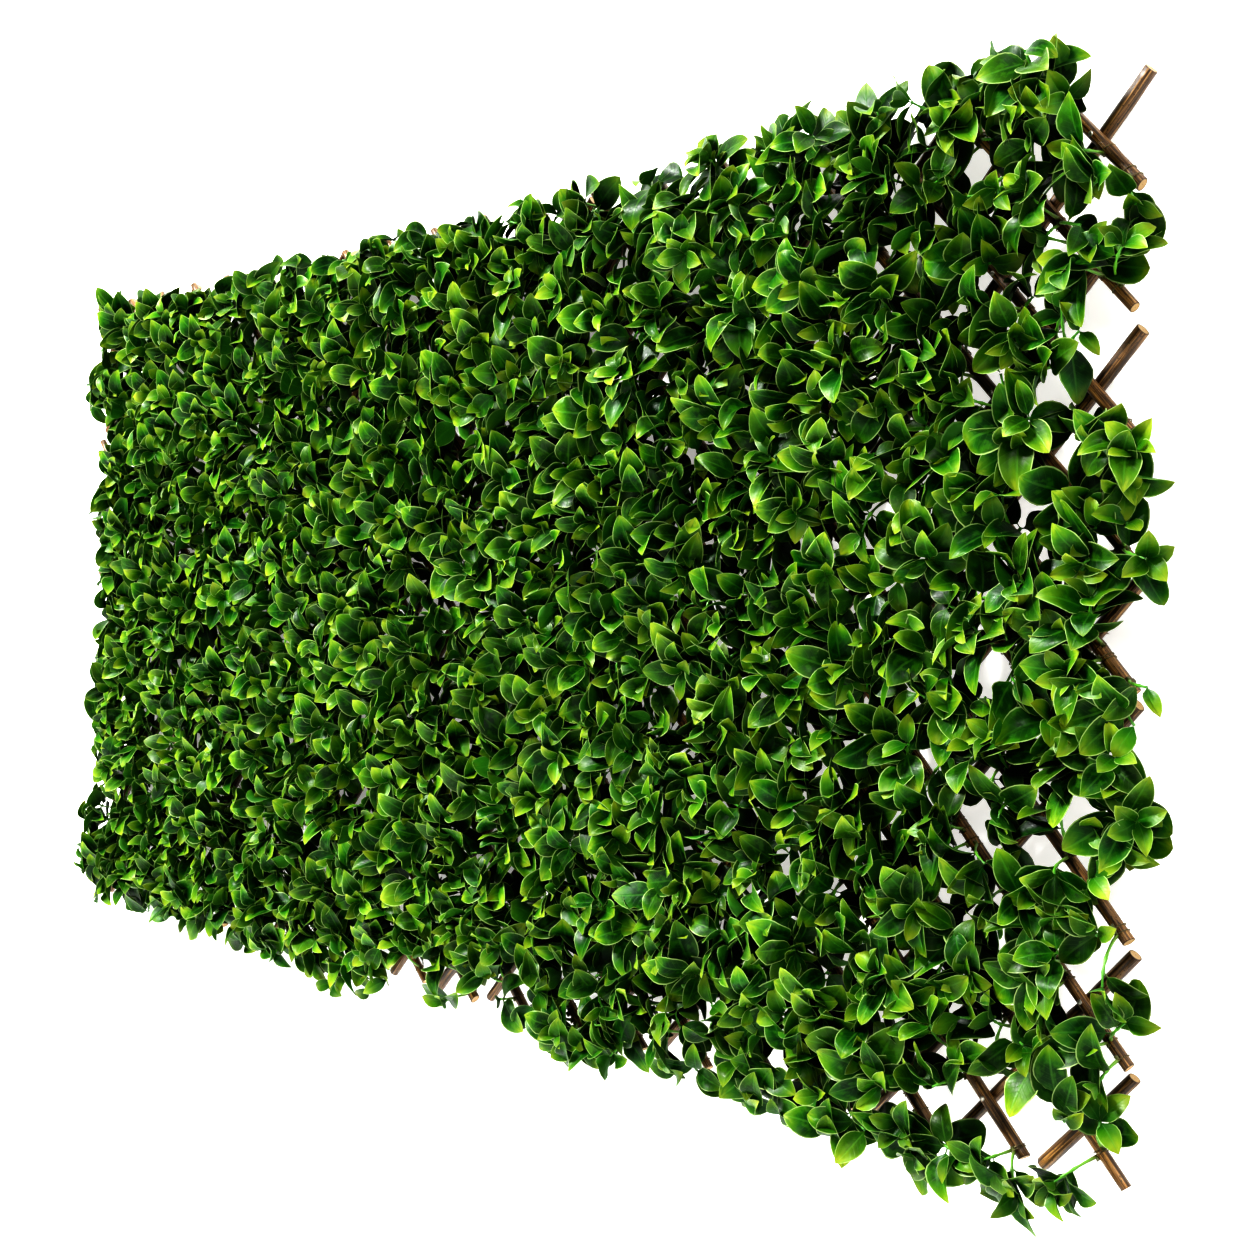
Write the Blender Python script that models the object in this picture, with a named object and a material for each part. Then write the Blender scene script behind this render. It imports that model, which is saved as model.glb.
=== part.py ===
"""Artificial hedge trellis: an expanding willow trellis with rows of artificial leaf sprays on its front.

Two layers of round rods cross in diamonds. The front layer runs down to the right, the back layer up to the right,
and a nail at each crossing lets the lattice fold like scissors. The panel stands in the XZ plane with its leaves
towards -Y and its wall side towards +Y. The origin is the nail at the middle of the panel, where the middle front rod
crosses the middle back rod, on the plane where the two layers meet.
"""

import math
import random

import bmesh
import bpy
from mathutils import Matrix, Vector

# ---------------------------------------------------------------- driving dimensions, in metres
FIELD_WIDTH = 1.96  # edge to edge of the rod field
FIELD_HEIGHT = 0.98
CELLS_ACROSS = 19  # diamonds across the width; odd with CELLS_UP, so that a crossing is at the middle
CELLS_UP = 9
FRONT_BUTT_RADIUS = 0.0062  # the thick end of a front rod
FRONT_TIP_RADIUS = 0.0052
BACK_BUTT_RADIUS = 0.0069
BACK_TIP_RADIUS = 0.0062
RADIUS_SPREAD = 0.0003  # rods differ by this much, either way
ROD_SIDES = 12
OVERHANG = 0.066  # from a rod's last crossing to its cut end
OVERHANG_SPREAD = 0.006
LAYER_GAP = 0.0003  # between the front and the back layer

NAIL_RADIUS = 0.0010
NAIL_HEAD_RADIUS = 0.0024
NAIL_HEAD_THICKNESS = 0.0009
NAIL_LEG = 0.009  # the clinched point, lying along the back of the panel
NAIL_CLEARANCE = 0.0003

LEAF_BACK = 0.0150  # the back of a leaf row, clear of the nail heads
LEAF_FRONT = 0.0660
LEAF_HALF_BACK = 0.044  # half the width of a leaf row, at its back, its widest and its front
LEAF_HALF_WIDEST = 0.056
LEAF_HALF_FRONT = 0.032
LEAF_WIDEST = 0.034  # how far in front of the layer plane it is widest
LEAF_PAST_ROD = 0.034  # how far it reaches past the ends of its rod
LEAF_END_TAPER = 0.045  # the length over which its ends draw in
LEAF_ROW_RODS = (4, 9, 14, 19, 24)  # the front rods that carry a leaf row

# ---------------------------------------------------------------- what follows from them
PITCH_X = FIELD_WIDTH / CELLS_ACROSS
PITCH_Z = FIELD_HEIGHT / CELLS_UP
ROD_COUNT = CELLS_ACROSS + CELLS_UP - 1  # in each layer
STEP = math.hypot(PITCH_X, PITCH_Z) / 2  # between crossings along a rod
MIDDLE_FRONT = (CELLS_ACROSS + CELLS_UP) // 2
MIDDLE_BACK = CELLS_ACROSS // 2 + 1 - (CELLS_UP // 2 + 1)  # as a diagonal number, from -(CELLS_UP - 1) up


def corner(u, w):
    """The world x and z of a point counted in cells from the field's bottom left corner."""
    return (u - CELLS_ACROSS / 2) * PITCH_X, (w - CELLS_UP / 2) * PITCH_Z


def front_ends(i):
    """Where front rod i would meet the field's border, upper end first, in cells: u + w = i."""
    top = min(CELLS_UP, i)
    foot = max(0, i - CELLS_ACROSS)
    return (i - top, top), (i - foot, foot)


def back_ends(j):
    """Where back diagonal j would meet the field's border, lower end first, in cells: u - w = j."""
    foot = max(0, -j)
    top = min(CELLS_UP, CELLS_ACROSS - j)
    return (j + foot, foot), (j + top, top)


def crossing(i, j):
    """Where front rod i and back diagonal j cross, as world (x, z), or None where they miss inside the field."""
    u, w = (i + j) / 2, (i - j) / 2
    if 0 < u < CELLS_ACROSS and 0 < w < CELLS_UP:
        return corner(u, w)
    return None


def hinge_tree():
    """The nail on which each rod turns, as {(layer, number): (the rod it turns on, the nail's x and z)}. The middle
    rod of each layer turns on the middle nail. Every other rod turns on one that it crosses and that is already in
    the tree, at the crossing nearest the rod's own middle. The rest of its nails then stay in line by themselves,
    because a lattice of parallel rods closes at every angle."""
    fronts = [(0, i) for i in range(1, ROD_COUNT + 1)]
    backs = [(1, j) for j in range(1 - CELLS_UP, CELLS_ACROSS)]
    tree = {(0, MIDDLE_FRONT): (None, (0.0, 0.0)), (1, MIDDLE_BACK): (None, (0.0, 0.0))}
    while len(tree) < len(fronts) + len(backs):
        found = {}
        for rod_key in fronts + backs:
            if rod_key in tree:
                continue
            layer, number = rod_key
            ends = front_ends(number) if layer == 0 else back_ends(number)
            (ax, az), (bx, bz) = corner(*ends[0]), corner(*ends[1])
            options = []
            for other in tree:
                if other[0] != layer:
                    pair = (number, other[1]) if layer == 0 else (other[1], number)
                    at = crossing(*pair)
                    if at:
                        off = math.hypot(at[0] - (ax + bx) / 2, at[1] - (az + bz) / 2)
                        options.append((round(off, 6), other, at))
            if options:
                _, other, at = min(options)
                found[rod_key] = (other, at)
        tree.update(found)
    return tree


TREE = hinge_tree()


# ---------------------------------------------------------------- a clean start
for old in list(bpy.data.objects):
    bpy.data.objects.remove(old, do_unlink=True)

parts = bpy.data.collections.new("artificial_hedge_trellis")
bpy.context.scene.collection.children.link(parts)
cutters = bpy.data.collections.new("cutters")
bpy.context.scene.collection.children.link(cutters)


def material(name, colour, roughness, metallic=0.0):
    m = bpy.data.materials.new(name)
    m.use_nodes = True
    shader = m.node_tree.nodes["Principled BSDF"]
    shader.inputs["Base Color"].default_value = (*colour, 1.0)
    shader.inputs["Roughness"].default_value = roughness
    shader.inputs["Metallic"].default_value = metallic
    m.diffuse_color = (*colour, 1.0)
    return m


def smooth(obj, angle=40):
    obj.data.shade_smooth()
    obj.data.set_sharp_from_angle(angle=math.radians(angle))


def add(name, bm, mat, collection):
    mesh = bpy.data.meshes.new(name)
    bm.normal_update()
    bm.to_mesh(mesh)
    bm.free()
    obj = bpy.data.objects.new(name, mesh)
    collection.objects.link(obj)
    if mat is not None:
        mesh.materials.append(mat)
    return obj


# ---------------------------------------------------------------- rods
def rod(name, start, end, butt, tip, side, nail_at, mat):
    """A tapered round rod from start to end, given as (x, z). side is -1 for the front layer and 1 for the back layer.
    Its inner flat lies on the layer's own plane all along, so that it bears on every rod that it crosses.
    The radii are to the flats, and a flat faces the other layer. Its origin is the nail that it turns on."""
    a, b = Vector((start[0], 0, start[1])), Vector((end[0], 0, end[1]))
    length = (b - a).length
    corner_radius = 1 / math.cos(math.pi / ROD_SIDES)
    bm = bmesh.new()
    bmesh.ops.create_cone(
        bm,
        cap_ends=True,
        cap_tris=False,
        segments=ROD_SIDES,
        radius1=butt * corner_radius,
        radius2=tip * corner_radius,
        depth=length,
        matrix=Matrix.Rotation(math.pi / ROD_SIDES, 4, "Z"),
    )
    for v in bm.verts:  # each end moves out from the layer plane by its own radius
        v.co.y += side * ((butt if v.co.z < 0 else tip) + LAYER_GAP / 2)
    # the rod's own z axis turns from +Z to its direction in the panel, about the Y axis
    d = (b - a).normalized()
    turn = Matrix.Rotation(math.atan2(d.x, d.z), 4, "Y")
    nail = Vector((nail_at[0], 0, nail_at[1]))
    bmesh.ops.transform(
        bm, matrix=Matrix.Translation((a + b) / 2 - nail) @ turn, verts=bm.verts
    )
    obj = add(name, bm, mat, parts)
    obj.location = nail
    smooth(obj)
    return obj


def front_name(i):
    return f"front_rod_{i:02d}"


def back_name(j):
    return f"back_rod_{j + CELLS_UP:02d}"


def rod_size(layer, number):
    """The butt and tip radii of one rod and the overhangs of its two ends, the same each time."""
    r = random.Random(1000 * layer + number)
    butt, tip = (
        (FRONT_BUTT_RADIUS, FRONT_TIP_RADIUS)
        if layer == 0
        else (BACK_BUTT_RADIUS, BACK_TIP_RADIUS)
    )
    more = r.uniform(-RADIUS_SPREAD, RADIUS_SPREAD)
    over = [OVERHANG + r.uniform(-OVERHANG_SPREAD, OVERHANG_SPREAD) for _ in range(2)]
    if r.random() < 0.5:  # either end of the willow rod may be its thick one
        return tip + more, butt + more, over
    return butt + more, tip + more, over


def cut_ends(ends, over):
    """The rod's two ends: its border points drawn in, since it stops short of the crossing that would be there."""
    (ax, az), (bx, bz) = corner(*ends[0]), corner(*ends[1])
    d = Vector((bx - ax, bz - az)).normalized()
    return (
        (ax + d.x * (STEP - over[0]), az + d.y * (STEP - over[0])),
        (bx - d.x * (STEP - over[1]), bz - d.y * (STEP - over[1])),
    )


BARKS = (
    (0.130, 0.072, 0.036),
    (0.165, 0.093, 0.045),
    (0.105, 0.058, 0.031),
)
rods = {}
for i in range(1, ROD_COUNT + 1):
    butt, tip, over = rod_size(0, i)
    start, end = cut_ends(front_ends(i), over)
    rods[front_name(i)] = rod(
        front_name(i),
        start,
        end,
        butt,
        tip,
        -1,
        TREE[(0, i)][1],
        material(front_name(i) + "_bark", BARKS[i % 3], 0.72),
    )
for j in range(-(CELLS_UP - 1), CELLS_ACROSS):
    butt, tip, over = rod_size(1, j + CELLS_UP)
    start, end = cut_ends(back_ends(j), over)
    rods[back_name(j)] = rod(
        back_name(j),
        start,
        end,
        butt,
        tip,
        1,
        TREE[(1, j)][1],
        material(back_name(j) + "_bark", BARKS[(j + 1) % 3], 0.75),
    )


# ---------------------------------------------------------------- the middle nail
def radius_at_middle(layer, number, ends):
    """The rod's radius where it passes the origin."""
    butt, tip, over = rod_size(layer, number)
    start, end = cut_ends(ends, over)
    whole = math.hypot(end[0] - start[0], end[1] - start[1])
    share = math.hypot(start[0], start[1]) / whole
    return butt + (tip - butt) * share


front_face = -(
    2 * radius_at_middle(0, MIDDLE_FRONT, front_ends(MIDDLE_FRONT)) + LAYER_GAP / 2
)
back_face = (
    2 * radius_at_middle(1, MIDDLE_BACK + CELLS_UP, back_ends(MIDDLE_BACK))
    + LAYER_GAP / 2
)

hole = bmesh.new()
bmesh.ops.create_cone(
    hole,
    cap_ends=True,
    cap_tris=False,
    segments=16,
    radius1=NAIL_RADIUS + NAIL_CLEARANCE,
    radius2=NAIL_RADIUS + NAIL_CLEARANCE,
    depth=0.05,
    matrix=Matrix.Rotation(math.pi / 2, 4, "X"),
)
nail_hole = add("nail_hole", hole, None, cutters)
nail_hole.hide_render = True
nail_hole.display_type = "WIRE"
for name in (front_name(MIDDLE_FRONT), back_name(MIDDLE_BACK)):
    cut = rods[name].modifiers.new("nail_hole", "BOOLEAN")
    cut.operation = "DIFFERENCE"
    cut.solver = "EXACT"
    cut.object = nail_hole

steel = material("centre_nail_steel", (0.62, 0.58, 0.48), 0.32, 0.9)
head_back = front_face - NAIL_CLEARANCE
leg_middle = back_face + NAIL_CLEARANCE + NAIL_RADIUS
bm = bmesh.new()
bmesh.ops.create_cone(
    bm,
    cap_ends=True,
    segments=16,
    radius1=NAIL_RADIUS,
    radius2=NAIL_RADIUS,
    depth=leg_middle - head_back + NAIL_HEAD_THICKNESS / 2,
    matrix=Matrix.Translation(
        (0, (leg_middle + head_back - NAIL_HEAD_THICKNESS / 2) / 2, 0)
    )
    @ Matrix.Rotation(math.pi / 2, 4, "X"),
)
nail = add("centre_nail", bm, steel, parts)
bm = bmesh.new()
bmesh.ops.create_cone(
    bm,
    cap_ends=True,
    segments=20,
    radius1=NAIL_HEAD_RADIUS,
    radius2=NAIL_HEAD_RADIUS * 0.8,
    depth=NAIL_HEAD_THICKNESS,
    matrix=Matrix.Translation((0, head_back - NAIL_HEAD_THICKNESS / 2, 0))
    @ Matrix.Rotation(math.pi / 2, 4, "X"),
)
nail_head = add("nail_head", bm, None, cutters)
bm = bmesh.new()
bmesh.ops.create_cone(
    bm,
    cap_ends=True,
    segments=16,
    radius1=NAIL_RADIUS * 1.08,
    radius2=NAIL_RADIUS * 0.35,
    depth=NAIL_LEG,
    matrix=Matrix.Translation((0, leg_middle + NAIL_RADIUS * 0.08, NAIL_LEG / 2 - NAIL_RADIUS * 1.2)),
)
nail_leg = add("nail_leg", bm, None, cutters)
for piece in (nail_head, nail_leg):
    piece.hide_render = True
    piece.display_type = "WIRE"
    join = nail.modifiers.new(piece.name, "BOOLEAN")
    join.operation = "UNION"
    join.solver = "EXACT"
    join.object = piece


# ---------------------------------------------------------------- leaf rows
def leaf_row(name, start, end, carrier, mat):
    """The space that one row of leaf sprays fills in front of its rod: a long block, widest a little in front of the
    rods, drawn in towards its front and at its ends. start and end are the rod's ends, as (x, z), and the row moves
    with carrier, its rod."""
    a, b = Vector((start[0], 0, start[1])), Vector((end[0], 0, end[1]))
    d = (b - a).normalized()
    half = (b - a).length / 2 + LEAF_PAST_ROD
    bm = bmesh.new()
    bmesh.ops.create_cube(bm, size=2)
    cuts = [
        e for e in bm.edges if abs(e.verts[0].co.z - e.verts[1].co.z) > 1
    ]  # the long edges get a ring near each end
    bmesh.ops.subdivide_edges(bm, edges=cuts, cuts=2, use_grid_fill=False)
    cuts = [e for e in bm.edges if abs(e.verts[0].co.y - e.verts[1].co.y) > 1]
    bmesh.ops.subdivide_edges(bm, edges=cuts, cuts=1, use_grid_fill=False)
    for v in bm.verts:
        at_end = abs(v.co.z) > 0.9
        if v.co.y > 0.5:
            y, wide = -LEAF_BACK, LEAF_HALF_BACK
        elif v.co.y > -0.5:
            y, wide = -LEAF_WIDEST, LEAF_HALF_WIDEST
        else:
            y, wide = -LEAF_FRONT, LEAF_HALF_FRONT
        if at_end:
            wide *= 0.48
            y = y if v.co.y > -0.5 else -LEAF_FRONT * 0.72
        v.co = Vector(
            (
                math.copysign(wide, v.co.x),
                y,
                math.copysign(half if at_end else half - LEAF_END_TAPER, v.co.z),
            )
        )
    turn = Matrix.Rotation(math.atan2(d.x, d.z), 4, "Y")
    hull = bmesh.new()
    for v in bm.verts:
        hull.verts.new(turn @ v.co)
    bm.free()
    made = bmesh.ops.convex_hull(hull, input=hull.verts)
    inside = {*made["geom_interior"], *made["geom_unused"]}
    bmesh.ops.delete(
        hull,
        geom=[v for v in inside if isinstance(v, bmesh.types.BMVert)],
        context="VERTS",
    )
    bmesh.ops.recalc_face_normals(hull, faces=hull.faces)
    bmesh.ops.translate(hull, vec=(a + b) / 2 - carrier.location, verts=hull.verts)
    obj = add(name, hull, mat, parts)
    obj.parent = carrier
    return obj


for n, i in enumerate(LEAF_ROW_RODS, 1):
    _, _, over = rod_size(0, i)
    start, end = cut_ends(front_ends(i), over)
    row = leaf_row(
        f"leaf_row_{n}",
        start,
        end,
        rods[front_name(i)],
        material(f"leaf_row_{n}_leaf", (0.055, 0.150, 0.028), 0.38),
    )
    smooth(row, 30)
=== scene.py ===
"""The looks of the artificial hedge trellis: willow rods with their bark on, nails with small bright heads, wire ties,
and moulded leaf sprays on every front rod."""

import math

import bpy
import numpy as np
from mathutils import Matrix, Vector


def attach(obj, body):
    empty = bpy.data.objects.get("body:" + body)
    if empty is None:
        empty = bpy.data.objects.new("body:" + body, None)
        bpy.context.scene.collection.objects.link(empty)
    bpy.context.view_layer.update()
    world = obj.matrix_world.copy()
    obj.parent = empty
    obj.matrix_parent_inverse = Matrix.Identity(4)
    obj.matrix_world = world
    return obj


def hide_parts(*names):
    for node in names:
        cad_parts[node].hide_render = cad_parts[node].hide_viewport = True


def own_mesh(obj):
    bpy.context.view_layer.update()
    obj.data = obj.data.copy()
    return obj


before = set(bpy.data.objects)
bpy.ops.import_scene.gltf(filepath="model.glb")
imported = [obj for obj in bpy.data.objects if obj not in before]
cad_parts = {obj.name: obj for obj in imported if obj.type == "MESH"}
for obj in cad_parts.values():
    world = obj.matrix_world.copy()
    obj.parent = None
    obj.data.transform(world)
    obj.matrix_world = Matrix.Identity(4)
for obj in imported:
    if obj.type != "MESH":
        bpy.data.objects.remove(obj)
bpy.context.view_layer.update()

LAYER_PLANE_GAP = 0.00013  # from the plane between the layers to a rod's inner side
ROD_SIDES = 20
RING_STEP = 0.0085
FIELD_HALF_WIDTH = 0.98
FIELD_HALF_HEIGHT = 0.49
Y = np.array([0.0, 1.0, 0.0])

# the camera, settled on the corners of the rod field in the photograph
FOCAL = 1808.0  # in pixels of a 1254 pixel frame
AZIMUTH, PITCH, ROLL = math.radians(47.811), math.radians(-1.760), math.radians(0.298)
PLACE = Vector((1.8356, -1.3765, 0.0520))
LOOK = Vector(
    (
        -math.sin(AZIMUTH) * math.cos(PITCH),
        math.cos(AZIMUTH) * math.cos(PITCH),
        math.sin(PITCH),
    )
)
LEVEL = LOOK.cross(Vector((0, 0, 1))).normalized()
RISE = LEVEL.cross(LOOK)
RIGHTWARDS = LEVEL * math.cos(ROLL) + RISE * math.sin(ROLL)
UPWARDS = -LEVEL * math.sin(ROLL) + RISE * math.cos(ROLL)


def seen_at(points):
    """Where points fall in the 1254 pixel frame."""
    v = points - np.array(PLACE)
    z = v @ np.array(LOOK)
    return np.stack(
        [
            627 + FOCAL * (v @ np.array(RIGHTWARDS)) / z,
            627 - FOCAL * (v @ np.array(UPWARDS)) / z,
        ],
        -1,
    )


# openings in the foliage, where the wall shows through it: centre and half sizes in the 1254 pixel frame
OPENINGS = np.array(
    [
        (974, 165, 15, 28), (934, 147, 6, 11), (991, 279, 9, 15), (1061, 233, 13, 24),
        (1034, 308, 12, 12), (878, 252, 9, 17), (1063, 334, 12, 9), (940, 212, 9, 16),
        (985, 390, 15, 22), (1048, 397, 13, 12), (1063, 464, 17, 24), (1030, 508, 17, 14),
        (996, 582, 8, 11), (994, 674, 15, 15), (873, 513, 8, 9), (885, 564, 7, 8),
        (1112, 640, 14, 14), (927, 765, 11, 24), (972, 825, 15, 28), (1041, 854, 22, 20),
        (1077, 814, 11, 21), (1088, 852, 12, 7), (1001, 881, 7, 14), (947, 961, 11, 11),
        (1005, 943, 9, 14), (1094, 966, 21, 20), (1070, 999, 15, 20), (1005, 1032, 17, 16),
        (511, 972, 7, 9), (527, 998, 9, 11), (578, 1012, 8, 13), (598, 994, 8, 7),
        (705, 1012, 8, 9), (676, 1038, 7, 10), (770, 1058, 8, 8), (830, 967, 8, 7),
        (841, 887, 12, 7), (792, 864, 8, 9), (976, 1100, 30, 24), (917, 1100, 14, 20),
        (1012, 1150, 24, 19), (1038, 1105, 12, 19), (1068, 1134, 9, 9), (1075, 1063, 14, 12),
        (930, 1052, 12, 12), (690, 622, 5, 6), (600, 330, 5, 6), (1096, 120, 10, 10),
        (1105, 205, 12, 16), (1100, 295, 16, 22), (1118, 545, 10, 12), (1120, 890, 10, 14),
    ],
    float,
)


# the edge of the foliage in the same frame, clockwise from its upper left corner
OUTLINE = np.array(
    [
        (100, 292), (140, 295), (182, 294), (212, 292), (240, 278), (272, 266), (305, 259), (345, 250),
        (392, 230), (424, 231), (458, 220), (510, 204), (560, 191), (602, 181), (634, 184), (650, 157),
        (668, 178), (698, 144), (740, 142), (785, 121), (812, 102), (845, 120), (870, 86), (905, 80),
        (935, 70), (965, 69), (992, 50), (1022, 46), (1047, 17), (1074, 52), (1104, 84), (1090, 130),
        (1108, 168), (1134, 190), (1172, 204), (1176, 238), (1152, 284), (1112, 282), (1088, 318), (1098, 350),
        (1112, 372), (1112, 404), (1138, 424), (1160, 424), (1168, 445), (1162, 488), (1128, 494), (1142, 526),
        (1172, 545), (1165, 590), (1128, 602), (1106, 636), (1118, 664), (1152, 672), (1172, 690), (1150, 734),
        (1126, 748), (1164, 772), (1174, 835), (1172, 868), (1146, 888), (1138, 916), (1108, 934), (1112, 966),
        (1168, 988), (1158, 1036), (1120, 1030), (1104, 1070), (1142, 1112), (1138, 1134), (1088, 1160), (1090, 1196),
        (1080, 1233), (1045, 1222), (1020, 1234), (994, 1224), (988, 1188), (960, 1174), (940, 1192), (916, 1190),
        (900, 1158), (876, 1134), (852, 1158), (830, 1154), (812, 1128), (792, 1130), (745, 1108), (722, 1092),
        (698, 1090), (672, 1078), (640, 1070), (600, 1072), (568, 1068), (530, 1042), (508, 1020), (484, 1008),
        (455, 1012), (420, 996), (392, 984), (350, 1000), (320, 990), (292, 966), (236, 944), (165, 926),
        (122, 908), (72, 898), (80, 846), (79, 812), (95, 780), (92, 690), (97, 640), (98, 600),
        (102, 565), (90, 510), (108, 475), (94, 458), (108, 430), (77, 385), (102, 368), (99, 330),
    ],
    float,
)


def in_opening(points, grow):
    """Whether any of each row of points is seen in an opening widened by grow pixels."""
    at = seen_at(points)[..., None, :]
    off = (at - OPENINGS[:, :2]) / (OPENINGS[:, 2:] + grow)
    return ((off**2).sum(-1) < 1).any(-1).any(-1)


def in_outline(at):
    """Whether each place in the frame is inside the foliage's edge."""
    x, y = at[..., 0], at[..., 1]
    inside = np.zeros(x.shape, bool)
    for (x0, y0), (x1, y1) in zip(OUTLINE, np.roll(OUTLINE, -1, 0)):
        if y0 != y1:
            inside ^= ((y0 > y) != (y1 > y)) & (x < (x1 - x0) * (y - y0) / (y1 - y0) + x0)
    return inside


# ---------------------------------------------------------------- small helpers
def unit(v):
    return v / np.maximum(np.linalg.norm(v, axis=-1, keepdims=True), 1e-12)


def smoothstep(a, b, x):
    t = np.clip((x - a) / (b - a), 0, 1)
    return t * t * (3 - 2 * t)


class Builder:
    """Collects closed bodies for one mesh: vertices, faces, point attributes, a bake map and material numbers."""

    def __init__(self):
        self.verts, self.loops, self.totals, self.uvs, self.mats = [], [], [], [], []
        self.point, self.corner = {}, {}
        self.count = 0

    def add(self, verts, faces, uvs, mat=0, point=None, corner=None):
        """faces is a list of (m, k) index arrays, uvs the (m, k, 2) places of their corners."""
        self.verts.append(verts)
        for f, uv in zip(faces, uvs):
            self.loops.append((f + self.count).ravel())
            self.totals.append(np.full(len(f), f.shape[1]))
            self.uvs.append(uv.reshape(-1, 2))
            self.mats.append(np.full(len(f), mat))
        for name, values in (point or {}).items():
            self.point.setdefault(name, []).append(values)
        for name, values in (corner or {}).items():
            for part in values:
                self.corner.setdefault(name, []).append(part.reshape(-1))
        self.count += len(verts)

    def mesh(self, name, materials, sharp=None):
        me = bpy.data.meshes.new(name)
        verts = np.concatenate(self.verts).astype(np.float32)
        loops = np.concatenate(self.loops).astype(np.int32)
        totals = np.concatenate(self.totals).astype(np.int32)
        me.vertices.add(len(verts))
        me.vertices.foreach_set("co", verts.ravel())
        me.loops.add(len(loops))
        me.loops.foreach_set("vertex_index", loops)
        me.polygons.add(len(totals))
        me.polygons.foreach_set(
            "loop_start", np.concatenate([[0], np.cumsum(totals)[:-1]]).astype(np.int32)
        )
        me.polygons.foreach_set(
            "material_index", np.concatenate(self.mats).astype(np.int32)
        )
        me.update(calc_edges=True)
        for key, parts in self.point.items():
            values = np.concatenate(parts).astype(np.float32)
            if values.ndim == 1:
                me.attributes.new(key, "FLOAT", "POINT").data.foreach_set(
                    "value", values
                )
            else:
                me.attributes.new(key, "FLOAT_VECTOR", "POINT").data.foreach_set(
                    "vector", values.ravel()
                )
        for key, parts in self.corner.items():
            me.attributes.new(key, "FLOAT", "CORNER").data.foreach_set(
                "value", np.concatenate(parts).astype(np.float32)
            )
        layer = me.uv_layers.new(name="OFBake", do_init=False)
        layer.uv.foreach_set(
            "vector", np.concatenate(self.uvs).astype(np.float32).ravel()
        )
        me.validate()
        me.shade_smooth()
        if sharp is not None:
            me.set_sharp_from_angle(angle=math.radians(sharp))
        for m in materials:
            me.materials.append(m)
        obj = bpy.data.objects.new(name, me)
        bpy.context.scene.collection.objects.link(obj)
        return obj


def ring_faces(rings, sides):
    """Quads between successive rings of vertices, facing out where the rings turn left about their direction."""
    k = np.arange(rings - 1)[:, None] * sides
    a = np.arange(sides)[None, :]
    b = (a + 1) % sides
    return np.stack([k + a, k + b, k + sides + b, k + sides + a], -1).reshape(-1, 4)


def cell_of(n, total, margin=0.04):
    """The corner and size of the n-th of total square cells in the bake map."""
    grid = max(1, math.ceil(math.sqrt(total)))
    size = 1.0 / grid
    return np.array([(n % grid) * size, (n // grid) * size]), size


# ---------------------------------------------------------------- node trees
class Tree:
    """A short way to write a shader's nodes."""

    def __init__(self, name):
        self.mat = bpy.data.materials.new(name)
        self.mat.use_nodes = True
        self.t = self.mat.node_tree
        self.bsdf = self.t.nodes["Principled BSDF"]

    def node(self, kind, **inputs):
        n = self.t.nodes.new(kind)
        for key, value in inputs.items():
            if hasattr(n, key) and key not in n.inputs:
                setattr(n, key, value)
        return n

    def link(self, a, b):
        self.t.links.new(a, b)

    def put(self, socket, value):
        if isinstance(value, bpy.types.NodeSocket):
            self.link(value, socket)
        else:
            socket.default_value = value

    def math(self, op, a, b=0.0, c=0.0, clamp=False):
        n = self.t.nodes.new("ShaderNodeMath")
        n.operation = op
        n.use_clamp = clamp
        for s, v in zip(n.inputs, (a, b, c)):
            self.put(s, v)
        return n.outputs[0]

    def step(self, x, low, high, to_low=0.0, to_high=1.0):
        n = self.t.nodes.new("ShaderNodeMapRange")
        n.interpolation_type = "SMOOTHSTEP"
        for s, v in zip(n.inputs, (x, low, high, to_low, to_high)):
            self.put(s, v)
        return n.outputs[0]

    def span(self, x, low, high, to_low=0.0, to_high=1.0):
        n = self.t.nodes.new("ShaderNodeMapRange")
        for s, v in zip(n.inputs, (x, low, high, to_low, to_high)):
            self.put(s, v)
        return n.outputs[0]

    def mix(self, fac, a, b, blend="MIX"):
        n = self.t.nodes.new("ShaderNodeMix")
        n.data_type = "RGBA"
        n.blend_type = blend
        n.clamp_factor = True
        self.put(n.inputs[0], fac)
        self.put(n.inputs[6], a if isinstance(a, bpy.types.NodeSocket) else (*a, 1.0))
        self.put(n.inputs[7], b if isinstance(b, bpy.types.NodeSocket) else (*b, 1.0))
        return n.outputs[2]

    def ramp(self, x, stops, kind="LINEAR"):
        n = self.t.nodes.new("ShaderNodeValToRGB")
        n.color_ramp.interpolation = kind
        els = n.color_ramp.elements
        while len(els) < len(stops):
            els.new(0.5)
        for e, (p, c) in zip(els, stops):
            e.position = p
            e.color = (*c, 1.0)
        self.put(n.inputs[0], x)
        return n.outputs[0]

    def attribute(self, name):
        n = self.t.nodes.new("ShaderNodeAttribute")
        n.attribute_name = name
        return n

    def parts(self, vector):
        n = self.t.nodes.new("ShaderNodeSeparateXYZ")
        self.link(vector, n.inputs[0])
        return n.outputs

    def vector(self, x, y, z):
        n = self.t.nodes.new("ShaderNodeCombineXYZ")
        for s, v in zip(n.inputs, (x, y, z)):
            self.put(s, v)
        return n.outputs[0]

    def noise(self, at, scale=1.0, detail=3.0, rough=0.55):
        n = self.t.nodes.new("ShaderNodeTexNoise")
        self.put(n.inputs["Vector"], at)
        n.inputs["Scale"].default_value = scale
        n.inputs["Detail"].default_value = detail
        n.inputs["Roughness"].default_value = rough
        return n.outputs[0]

    def bump(self, height, strength, distance, normal=None):
        n = self.t.nodes.new("ShaderNodeBump")
        n.inputs["Strength"].default_value = strength
        n.inputs["Distance"].default_value = distance
        self.link(height, n.inputs["Height"])
        if normal is not None:
            self.link(normal, n.inputs["Normal"])
        return n.outputs[0]


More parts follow.
